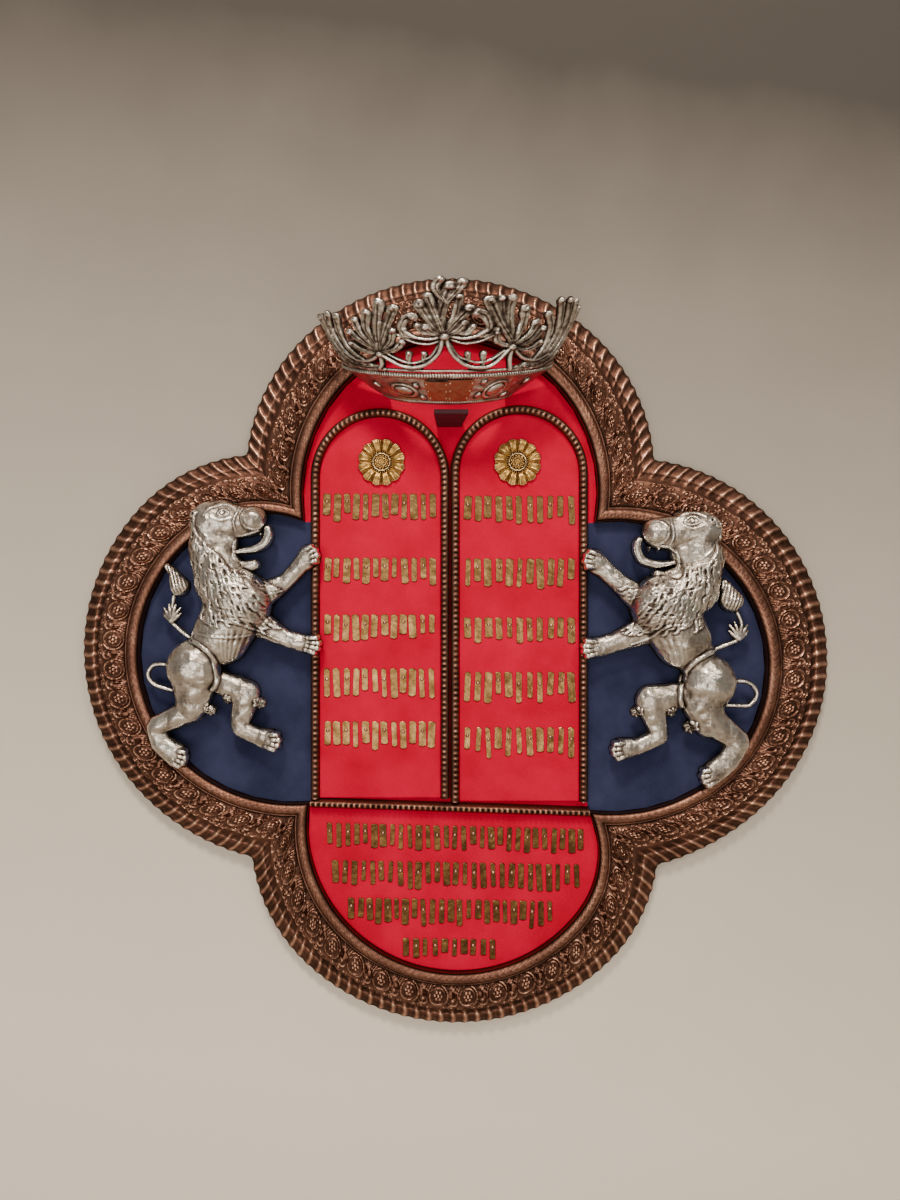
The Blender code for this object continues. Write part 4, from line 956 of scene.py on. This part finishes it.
def toes(gx, gz, paw_x, paw_z, turn):
    """Four round toes side by side: the middle two reach furthest, and each has a knuckle"""
    angle = math.radians(turn)
    ahead = np.array([math.cos(angle), math.sin(angle)])
    across = np.array([-ahead[1], ahead[0]])
    middle = np.array([paw_x, paw_z])
    fields, heights = [], []
    for place in (-1.5, -0.5, 0.5, 1.5):
        heel = middle - ahead * 4 + across * place * 5.2
        tip = middle + ahead * (12.0 - 2.0 * place ** 2) + across * place * 6.6
        knuckle = heel + (tip - heel) * 0.55
        field, height = limb_field(gx, gz, [(*heel, 4.0), (*tip, 5.2)])
        fields.append(field)
        heights.append(np.where(height > 0, 6.0 + height * 1.6, 0)
                       + dome(np.hypot(gx - knuckle[0], gz - knuckle[1]), 4.5, 1.6))
    return np.max(fields, axis=0), np.max(heights, axis=0)


# %% Beat the lions
def lion(side, pose):
    """Field and height of a lion over its own x and z, then its shell"""
    x = np.arange(-72.0, 182.0, LION_PITCH)
    z = np.arange(-150.0, 238.0, LION_PITCH)
    gx, gz = x[None, :], z[:, None]
    field = np.full((len(z), len(x)), -1e3)
    height = np.zeros_like(field)

    def join(part, scale=1.1, lift=0.0):
        """Join a limb to the lion where it stands higher"""
        nonlocal field, height
        part_field, part_height = limb_field(gx, gz, part)
        field = np.maximum(field, part_field)
        height = np.maximum(height, np.where(part_height > 0, lift + part_height * scale, 0))

    for limb in pose["limbs"]:
        limb_edge, limb_height = limb_field(gx, gz, limb)
        field = blend_max(field, limb_edge, 5.0)
        height = np.where(limb_height > 0, blend_max(height, limb_height * LION_RELIEF, 5.0), height)
    body = height.copy()
    dents = blurred(blurred(rng.normal(size=height.shape), 4), 4)
    height += 0.45 * dents / dents.std() * smooth_step(field, 0, 6)
    face = np.maximum.reduce([limb_field(gx, gz, part)[0] for part in pose["face"]])
    off_face = 1 - smooth_step(face, -2.0, 1.0)
    mane = smooth_step(limb_field(gx, gz, pose["mane"])[0], -1.0, 2.0) * off_face
    mane = mane * smooth_step(gz - np.interp(gx, *pose["mane_edge"]), 3.0, 7.0) * smooth_step(field, 0, 3)
    height += mane_locks(x, z, mane) * off_face + 1.2 * mane
    (belly_x, belly_z, belly_r), (fan_x, fan_z) = pose["ribs"]
    belly = smooth_step(belly_r - np.hypot(gx - belly_x, gz - belly_z), 0, 10) * (mane < 0.1)
    height -= 0.8 * belly * (0.5 + 0.5 * np.cos(75 * np.arctan2(gx - fan_x, gz - fan_z)))
    join(pose["jaw"], 1.2, 4.0)
    join(smooth_line(pose["tongue"]), 1.2, 5.0)
    join(even_line(pose["stem"], STEM_RADIUS))
    join(even_line(pose["ring"], RING_RADIUS))
    join(pose["bulb"])
    bulb_x, bulb_z = pose["bulb"][0][:2]
    on_bulb = smooth_step(limb_field(gx, gz, pose["bulb"])[0], 0, 3)
    height += 0.9 * on_bulb * np.cos(2 * np.pi * ((gx - bulb_x) + 0.35 * (gz - bulb_z)) / 5.0)
    flower_x, flower_z, flower_r = pose["flower"]
    for turn in FLOWER_LEAVES:
        reach = flower_r * (1.45 - 0.3 * abs(turn))
        join([(flower_x, flower_z - 5, 5.5),
              (flower_x + reach * 0.7 * math.sin(turn), flower_z + reach * 0.6 * math.cos(turn), 3.4),
              (flower_x + reach * math.sin(turn * 1.1), flower_z + reach * math.cos(turn * 0.8), 1.2)], 1.3)
    for tuft_x, tuft_z, tuft_r in pose["tufts"]:
        turn = np.arctan2(gz - tuft_z, gx - tuft_x)
        reach = np.hypot(gx - tuft_x, gz - tuft_z)
        flutes = 0.82 + 0.18 * np.cos(6 * turn + 0.45 * reach)
        edge = tuft_r * (0.94 + 0.06 * np.cos(6 * turn + 0.45 * tuft_r))
        field = np.maximum(field, edge - reach)
        height = np.maximum(height, body * 0.8 * (reach < edge) + dome(reach, edge, 9.0) * flutes)
    tail_field, tail_height = limb_field(gx, gz, even_line(pose["tail"], TAIL_RADIUS))
    field = np.maximum(field, tail_field)
    height = np.where(tail_height > 0, np.maximum(height, body + tail_height * 1.2), height)
    for paw in pose["paws"]:
        toe_field, toe_height = toes(gx, gz, *paw)
        field, height = np.maximum(field, toe_field), np.maximum(height, toe_height)
    for line_height, steps in pose["lines"]:
        height += chased_line(gx, gz, steps, line_height)
    from_eye = np.hypot(gx - pose["eye"][0], gz - pose["eye"][1])
    height += dome(from_eye, 3.0, 2.2) - dome(from_eye, 1.1, 1.2)
    nose_x, nose_z, nose_r = pose["nose"]
    from_nose = np.hypot(gx - nose_x, gz - nose_z)
    height += dome(from_nose - nose_r, 1.5, 1.6) + dome(from_nose, nose_r, 3.5)
    for ear_x, ear_z, ear_r in pose["ears"]:
        height += dome(np.hypot(gx - ear_x, gz - ear_z) - ear_r * 0.6, 2.2, 2.6)
    for tooth_x, tooth_z, length in pose["teeth"]:
        join([(tooth_x, tooth_z, 2.6), (tooth_x + 0.5, tooth_z + length, 0.9)], 1.6, 9.0)
    height *= smooth_step(field, -0.5, 2.5) ** 0.5
    front = LION_BACK + LION_SKIRT + np.clip(height, 0, LION_MOST)
    points, faces, used = relief_shell(x, z, field, front, np.full_like(front, LION_BACK), flat_back=True)
    hip_x, hip_z = pose["hip"]
    points = points * (pose["faces"], 1, 1) + (hip_x, 0, hip_z)
    raised = np.r_[standing_out(height, 3, 1.3).ravel(), np.full(height.size, -1.0)][used]
    return make_piece(f"silver_lion_{side}", points, faces, SILVER, [f"lion_{side}"],
                      raised=raised)


for side, pose in LIONS.items():
    lion(side, pose)

# %% [markdown]
# ## The crown
#
# Half a ring of silver leans out from the top of the panel. Its band swells like a bowl
# between two twisted ropes, and the pierced crest stands on the upper one. Everything is
# made in the band's own flat coordinates, place round the ring and height up it, and one
# function bends it into the leaning half ring.

# %% Bend flat work round the ring
CROWN_X, CROWN_DEPTH, CROWN_Z = -12.0, 18.6, 347.0
CROWN_LEAN = math.radians(24.0)
BAND_HEIGHT = 41.5
FOOT_RING, TOP_RING = (75.0, 58.0), (137.0, 85.0)       # half width and reach
CREST_FLARE = (0.46, 0.18)                              # how fast both grow above the band
INSIDE_RAISED = -0.6                                    # dull tone of the crown's inside


def crown_place(place, height, proud):
    """x, depth and z of a place round the ring (-1 to 1), a height and a distance outwards.
    The ring's half width and reach grow with height, and its plane leans forward"""
    above = np.maximum(height - BAND_HEIGHT, 0.0)
    climb = np.clip(height / BAND_HEIGHT, 0, 1) ** 0.8
    half = FOOT_RING[0] + (TOP_RING[0] - FOOT_RING[0]) * climb + CREST_FLARE[0] * above + proud
    reach = FOOT_RING[1] + (TOP_RING[1] - FOOT_RING[1]) * climb + CREST_FLARE[1] * above + proud
    angle = place * math.pi / 2
    forward, side = reach * np.cos(angle), half * np.sin(angle)
    x = CROWN_X + side
    depth = CROWN_DEPTH + forward * math.cos(CROWN_LEAN) + height * math.sin(CROWN_LEAN)
    z = CROWN_Z - forward * math.sin(CROWN_LEAN) + height * math.cos(CROWN_LEAN)
    return np.stack(np.broadcast_arrays(x, depth, z), axis=-1)


# %% The band and its bosses
# Bosses as place, share of the height, half width and half height, and pearls by the first two
BOSSES = [(-0.33, 0.50, 13.0, 6.5), (0.37, 0.52, 11.5, 9.0)]
PEARLS = [(-0.21, 0.68), (0.24, 0.80), (0.25, 0.36), (0.62, 0.72), (-0.55, 0.62), (-0.20, 0.28), (0.52, 0.3)]


def band_surface():
    """Outer face with chased bosses, then the plain inner face, joined into one shell"""
    place = np.linspace(-1.0, 1.0, 361)[:, None]
    tall = np.linspace(2.0, BAND_HEIGHT, 44)[None, :]
    scale = math.pi / 2 * (FOOT_RING[0] + (TOP_RING[0] - FOOT_RING[0]) * (tall / BAND_HEIGHT) ** 0.8)
    proud = 0.6 + 0.35 * np.sin(place * scale / 5.0 + 2 * np.sin(tall / 4.0)) * np.sin(tall / 3.2)
    for at, share, wide, high in BOSSES:
        dx, dz = (place - at) * scale, tall - share * BAND_HEIGHT
        reach = np.hypot(dx / wide, dz / high)
        proud = np.maximum(proud, 0.6 + dome(reach, 1.0, 5.0))
        proud = proud + dome((reach - 1.22) * min(wide, high), 1.6, 1.6)
    for at, share in PEARLS:
        reach = np.hypot((place - at) * scale, tall - share * BAND_HEIGHT)
        proud = np.maximum(proud, dome(reach, 3.8, 4.4))
    outer = crown_place(place, tall, proud)
    inner = crown_place(place, np.linspace(BAND_HEIGHT, 2.0, 8)[None, :], -2.4)
    points = np.concatenate([outer, inner], axis=1)
    raised = np.hstack([standing_out(proud, 3, 1.0), np.full(inner.shape[:2], INSIDE_RAISED)])
    return make_piece("band", points, swept_faces(*raised.shape), SILVER, ["crown_band"],
                      raised=raised)


def twisted_rope(name, height, radius, ribs, steps):
    """A rope round the ring: its radius swells once per rib, and the ribs slant with the turn"""
    place = np.linspace(-1.0, 1.0, steps)[:, None]
    turn = np.linspace(0.0, 2 * math.pi, 14, endpoint=False)[None, :]
    swell = 0.84 + 0.16 * np.abs(np.sin(np.pi * (place * ribs / 2 + turn / (2 * math.pi) * 1.5)))
    points = crown_place(place, height + radius * swell * np.sin(turn), radius * swell * np.cos(turn))
    return make_piece(name, points, swept_faces(*swell.shape), SILVER, ["crown_band"],
                      raised=np.clip((swell - 0.94) * 8, -1, 1))


band_surface()
twisted_rope("rope_upper", BAND_HEIGHT, 4.3, 120, 900)
twisted_rope("rope_lower", 4.0, 2.8, 90, 640)

# %% [markdown]
# The crest is one cut-out sheet. Three leafy fleurons rise from a bead each, with curls
# between them, and long fingers sweep up at both ends. Wires swing from bead to bead and
# down to the rope. A finger is a bent limb with three grooves along it and a round tip
# that is beaten up high. All are placed by the way along the ring and the height up it.

# %% The crest
CREST_HALF, CREST_TOP = 175.0, 168.0
CREST_BASE = BAND_HEIGHT + 5.2
CREST_PITCH, CREST_MOST = 0.92, 6.8     # cell of its grid, and the most it stands out
# Places that a finger passes, then its half width at the root and at the tip
FINGERS = [
    ([(-4, 95), (-13, 110), (-20, 129)], 4.5, 7.0), ([(1, 98), (8, 110), (17, 124)], 4.0, 6.0),
    ([(-3, 96), (-9, 118), (-14, 139)], 4.0, 4.6), ([(0, 96), (7, 118), (9, 138)], 4.0, 4.6),
    ([(-2, 134), (-8, 148), (-5, 158)], 3.5, 4.5), ([(0, 132), (8, 146), (11, 155)], 3.5, 4.8),
    ([(-2, 92), (-5, 114), (-1, 136), (3, 150)], 5.0, 6.5),
    ([(-4, 93), (-11, 95), (-17, 102)], 3.5, 5.0), ([(1, 94), (8, 97), (14, 107)], 3.5, 5.0),
    ([(-12, 96), (-20, 96), (-24, 104)], 3.0, 4.2), ([(9, 97), (16, 95), (21, 103)], 3.0, 4.2),
    ([(-28, 90), (-36, 92), (-37, 99)], 3.0, 4.6), ([(28, 92), (38, 92), (42, 99)], 3.0, 4.6),
    ([(-30, 92), (-38, 99), (-34, 111), (-27, 114)], 3.0, 6.0),
    ([(27, 93), (35, 101), (31, 115), (24, 119)], 3.0, 6.4),
    ([(-63, 76), (-52, 100), (-42, 123)], 4.0, 6.0), ([(-66, 76), (-72, 98), (-67, 117)], 4.0, 6.0),
    ([(-66, 74), (-80, 92), (-82, 108)], 3.5, 5.0), ([(-61, 72), (-50, 84), (-47, 97)], 3.5, 5.0),
    ([(-67, 72), (-80, 80), (-94, 92)], 3.5, 5.0), ([(-62, 70), (-48, 74), (-40, 84)], 3.0, 4.5),
    ([(-68, 69), (-84, 70), (-98, 78)], 3.0, 4.5),
    ([(-65, 69), (-62, 92), (-57, 114), (-53, 130)], 5.0, 6.0),
    ([(58, 86), (44, 108), (33, 133)], 4.5, 7.0), ([(59, 88), (46, 114), (41, 136)], 3.5, 5.0),
    ([(62, 86), (66, 104), (64, 123)], 4.0, 5.5), ([(63, 80), (76, 90), (80, 106)], 3.5, 5.0),
    ([(64, 78), (80, 82), (91, 97)], 3.5, 5.0), ([(58, 78), (46, 84), (43, 95)], 3.0, 4.5),
    ([(64, 76), (80, 72), (94, 80)], 3.0, 4.5), ([(61, 78), (54, 100), (50, 122), (50, 136)], 5.0, 5.5),
    ([(66, 49), (104, 50), (140, 60), (156, 84), (150, 116)], 3.2, 5.5),
    ([(72, 51), (106, 55), (134, 68), (142, 94), (131, 126)], 3.2, 5.5),
    ([(80, 53), (108, 61), (126, 76), (126, 102), (116, 129)], 3.2, 5.0),
    ([(88, 55), (110, 68), (116, 90), (110, 112), (102, 130)], 3.2, 5.0),
    ([(94, 58), (104, 76), (102, 98), (92, 115)], 3.0, 5.0),
    ([(-66, 49), (-104, 50), (-138, 58), (-156, 78), (-154, 104)], 3.2, 6.0),
    ([(-72, 51), (-106, 55), (-132, 67), (-142, 88), (-138, 108)], 3.2, 5.5),
    ([(-80, 53), (-108, 61), (-124, 78), (-126, 98), (-120, 112)], 3.2, 5.5),
    ([(-86, 56), (-106, 70), (-112, 90), (-106, 111)], 3.2, 5.5),
    ([(-22, 60), (-21, 70)], 2.6, 3.6), ([(20, 60), (19, 70)], 2.6, 3.6), ([(-38, 56), (-35, 70)], 2.6, 3.8),
    ([(35, 56), (34, 70)], 2.6, 3.8),
]
# Places that a wire passes, then its half width
CREST_WIRES = [
    ([(-3, 90), (-8, 70), (-20, 57), (-34, 52.5), (-48, 56), (-62, 66)], 2.6),
    ([(-6, 84), (-14, 68), (-24, 61), (-35, 58), (-46, 62), (-57, 69)], 1.5),
    ([(-1, 90), (5, 70), (17, 57), (31, 52.5), (45, 56), (58, 74)], 2.6),
    ([(2, 84), (10, 68), (20, 62), (31, 59), (43, 63), (54, 73)], 1.5),
    ([(-4, 91), (-15, 88), (-27, 90), (-36, 97)], 2.0), ([(-4, 88), (-15, 82), (-29, 84), (-42, 92)], 1.6),
    ([(1, 92), (14, 89), (26, 92), (34, 99)], 2.0), ([(1, 89), (14, 83), (28, 85), (40, 92)], 1.6),
    ([(-67, 66), (-82, 58), (-100, 58), (-118, 66)], 2.0), ([(63, 75), (78, 62), (98, 58), (116, 64)], 2.0),
    ([(-65, 67), (-66, 56), (-70, 49)], 2.4), ([(61, 76), (62, 62), (66, 49)], 2.4),
]
CREST_BEADS = [(-2, 90.5, 5.4), (-65, 67, 4.6), (61, 76.5, 4.8)]
ROOT_SHARE, TIP_SHARE = 0.85, 0.92      # parts of a finger's half widths that are used


def crest():
    """Field and height of the flat crest, then its shell bent round the ring. The sheet is
    crumpled by blurred noise, which also frays the leaves' edges"""
    s_line = np.arange(-CREST_HALF - 1.0, CREST_HALF + 1.0, CREST_PITCH)
    h_line = np.arange(CREST_BASE - 3.0, CREST_TOP, CREST_PITCH)
    s, h = s_line[None, :], h_line[:, None]
    field, height = limb_field(s, h, [(-170, CREST_BASE + 1.8, 1.8), (170, CREST_BASE + 1.8, 1.8)])
    crumple = blurred(blurred(rng.normal(size=field.shape), 2), 2)
    crumple = np.clip(crumple / crumple.std(), -2, 2)
    for order, (places, root, tip) in enumerate(FINGERS):
        halves = np.linspace(root * ROOT_SHARE, tip * TIP_SHARE, len(places))
        edge, ball = limb_field(s, h, smooth_line(np.c_[places, halves], 4))
        radius = (ball ** 2 / np.maximum(edge, 0.05) + edge) / 2
        off_middle = np.clip(1 - edge / np.maximum(radius, 0.5), 0, 1)
        vein = 1 - 0.4 * np.exp(-(off_middle / 0.16) ** 2) - 0.2 * np.exp(-((off_middle - 0.55) / 0.12) ** 2)
        plump = 2.3 + 0.4 * (order % 3)
        lobe = np.where(ball > 0, 1.0 + plump * ball / np.maximum(radius, 0.5) * vein, 0)
        tip_s, tip_h = s - places[-1][0], h - places[-1][1]
        from_tip = np.hypot(tip_s, tip_h)
        curl = np.cos(np.arctan2(tip_h, tip_s) + 0.8 * from_tip + order)
        knob = dome(from_tip, halves[-1] * 0.85, 5.4) * (0.86 + 0.14 * curl)
        field = np.maximum(field, edge + 0.6 * crumple * smooth_step(edge, -3.0, 0.0))
        height = np.maximum(height, np.maximum(lobe, knob))
    height = height * (1 + 0.10 * crumple)
    for places, half_width in CREST_WIRES:
        edge, ball = limb_field(s, h, even_line(places, half_width, 4))
        field = np.maximum(field, edge)
        height = np.maximum(height, (ball > 0) * 1.2 + ball * 1.5)
    for bead_s, bead_h, radius in CREST_BEADS:
        from_bead = np.hypot(s - bead_s, h - bead_h)
        field = np.maximum(field, radius - from_bead)
        height = np.maximum(height, dome(from_bead, radius, CREST_MOST))
    front = 0.4 + np.clip(height, 0, CREST_MOST)
    points, faces, used = relief_shell(s_line, h_line, field, front, np.full_like(front, -1.6))
    bent = crown_place(points[:, 0] / CREST_HALF, points[:, 2], points[:, 1])
    # The 0.45 taken off raised darkens the whole crest: painted shade, for the shade the crest stands in
    raised = np.r_[standing_out(height, 3, 1.0, 0.45).ravel(), np.full(height.size, INSIDE_RAISED)][used]
    return make_piece("crest", bent, faces, SILVER, ["crown_crest"], raised=raised)


crest()

# %% [markdown]
# Two squares of newer copper are riveted over the middle of the band, an old repair.

# %% The copper patches
# Place and share of the band's height at the middle, then width and height
PATCHES = dict(left=(-0.068, 0.52, 32.0, 27.0), right=(0.089, 0.54, 35.2, 30.0))
PATCH_INSIDE, PATCH_OUTSIDE = 4.6, 5.6


def patch(side, at, share, wide, tall):
    """A thin sheet over the band, buckled a little by a slow wave. Returns its rivets' places"""
    half = TOP_RING[0] * math.pi / 2
    place = at + wide / half * np.linspace(-0.5, 0.5, 25)[:, None]
    height = share * BAND_HEIGHT + tall * np.linspace(-0.5, 0.5, 21)[None, :]
    buckle = 0.25 * np.sin(place * 90) * np.cos(height / 4)
    points = [crown_place(place, height, proud + buckle) for proud in (PATCH_OUTSIDE, PATCH_INSIDE)]
    number = np.arange(buckle.size).reshape(buckle.shape)
    loop = np.r_[number[0], number[1:, -1], number[-1, -2::-1], number[-2:0:-1, 0]]
    after = np.roll(loop, -1)
    walls = np.c_[after, loop, loop + buckle.size, after + buckle.size]
    under = grid_faces(*buckle.shape, buckle.size)[:, ::-1]
    make_piece(f"patch_{side}", points, [grid_faces(*buckle.shape), under, walls], PATCH_COPPER,
               [f"crown_patch_{side}"], sharp_over=40, raised=0.1)
    return [crown_place(place[i, 0], height[0, j], PATCH_OUTSIDE + 0.1)
            for i in (2, 22) for j in (3, 10, 17)]


heads = [spot for side, size in PATCHES.items() for spot in patch(side, *size)]
rivets("patch_rivets", heads, 1.7, EMBOSSED_COPPER)

# %% [markdown]
# ## Stage, camera and light
#
# The plaque hangs on a pale plaster wall. The wall is seen from the front only, so that
# the back of the board can be looked at from behind. The camera stands where the
# photographer stood, 1.2 m off, a little above the plaque's middle.

# %% Wall and floor
MOTTLE_MM = 180.0
# Painted shade on the wall: its tone falls towards the top and the right, standing in for how the light
# falls on it
PAINTED_SHADE_SLOPE = (-0.08, 0.0, -0.54)         # change of the plaster's tone for each metre in x, y and z
TONE_AT_MIDDLE = 0.43


def plaster(name, dark, light, see_through_behind):
    """Matt plaster with a faint trowel mottle, and painted shade that makes it darker towards the top and
    the right
    """
    made, tree, shader, place = start_material(name)
    mottle = add_node(tree, "ShaderNodeTexNoise", {
        "Vector": place, "Scale": per_metre(MOTTLE_MM), "Detail": 6.0})
    slope = add_node(tree, "ShaderNodeVectorMath", {0: place, 1: PAINTED_SHADE_SLOPE}, operation="DOT_PRODUCT")
    mottle_and_painted_shade = add_node(tree, "ShaderNodeMath", {0: mottle, 1: 0.06, 2: slope.outputs["Value"]},
                      operation="MULTIPLY_ADD")
    tone = add_node(tree, "ShaderNodeMath", {0: mottle_and_painted_shade, 1: TONE_AT_MIDDLE}, operation="ADD")
    tinted = add_node(tree, "ShaderNodeValToRGB", {"Fac": tone}, stops=[(0.0, dark), (0.8, light)])
    bump = add_node(tree, "ShaderNodeBump", {"Height": mottle, "Distance": 1.5 * MM})
    set_inputs(tree, shader, {"Base Color": tinted, "Normal": bump, "Roughness": 0.9})
    if see_through_behind:
        side = add_node(tree, "ShaderNodeNewGeometry", {})
        clear = add_node(tree, "ShaderNodeBsdfTransparent", {})
        mixed = add_node(tree, "ShaderNodeMixShader", {0: side.outputs["Backfacing"], 1: shader, 2: clear})
        set_inputs(tree, tree.nodes["Material Output"], {"Surface": mixed})
    return made


def flat_stage(name, corners, finish):
    """One flat four-cornered surface of the stage"""
    mesh = bpy.data.meshes.new(name)
    mesh.from_pydata(corners, [], [(0, 1, 2, 3)])
    mesh.materials.append(finish)
    made = bpy.data.objects.new(name, mesh)
    bpy.context.scene.collection.objects.link(made)
    return made


WALL_Y, WALL_TOP, FLOOR_Z = 0.0006, 2.2, -0.85
wall = flat_stage(
    "wall", [(-3, WALL_Y, FLOOR_Z), (3, WALL_Y, FLOOR_Z), (3, WALL_Y, WALL_TOP), (-3, WALL_Y, WALL_TOP)],
    plaster("plaster_wall", "4c4742", "fff4e4", True))
wall.visible_shadow = False
wall.visible_diffuse = False            # keeps the board's back lit when it is looked at from behind
flat_stage("floor", [(-4, -4, FLOOR_Z), (4, -4, FLOOR_Z), (4, 4, FLOOR_Z), (-4, 4, FLOOR_Z)],
           plaster("pale_floor", "c4bcae", "d2cabd", False))

# %% Camera
lens = bpy.data.cameras.new("camera")
lens.lens = 26.0
lens.sensor_width = 36.0
camera = bpy.data.objects.new("camera", lens)
camera.location = (-0.0081, -1.2, 0.0702)
camera.rotation_euler = (math.radians(90), 0, 0)
bpy.context.scene.collection.objects.link(camera)
bpy.context.scene.camera = camera


# %% Lights
def soft_light(name, place, target, size, watts, tint):
    """A square area light that looks at a target"""
    data = bpy.data.lights.new(name, "AREA")
    data.shape = "SQUARE"
    data.size = size
    data.energy = watts
    data.color = colour(tint)[:3]
    made = bpy.data.objects.new(name, data)
    made.location = place
    aim = np.array(target, float) - np.array(place, float)
    flat = math.hypot(aim[0], aim[1])
    made.rotation_euler = (math.atan2(flat, -aim[2]), 0, math.atan2(aim[1], aim[0]) - math.pi / 2)
    bpy.context.scene.collection.objects.link(made)
    return made


soft_light("key", (-0.35, -1.9, 2.5), (0, 0, 0.05), 0.55, 66, "fff0e0")
soft_light("second", (0.95, -1.7, 1.3), (0, 0, 0), 0.5, 12, "fff2e2")
soft_light("fill", (-0.5, -2.3, -0.7), (0, 0, -0.15), 2.0, 38, "fff8f0")
world = bpy.data.worlds.new("room")
world.use_nodes = True
set_inputs(world.node_tree, world.node_tree.nodes["Background"], {
    "Color": colour("c4bfb8"), "Strength": 0.45})
bpy.context.scene.world = world
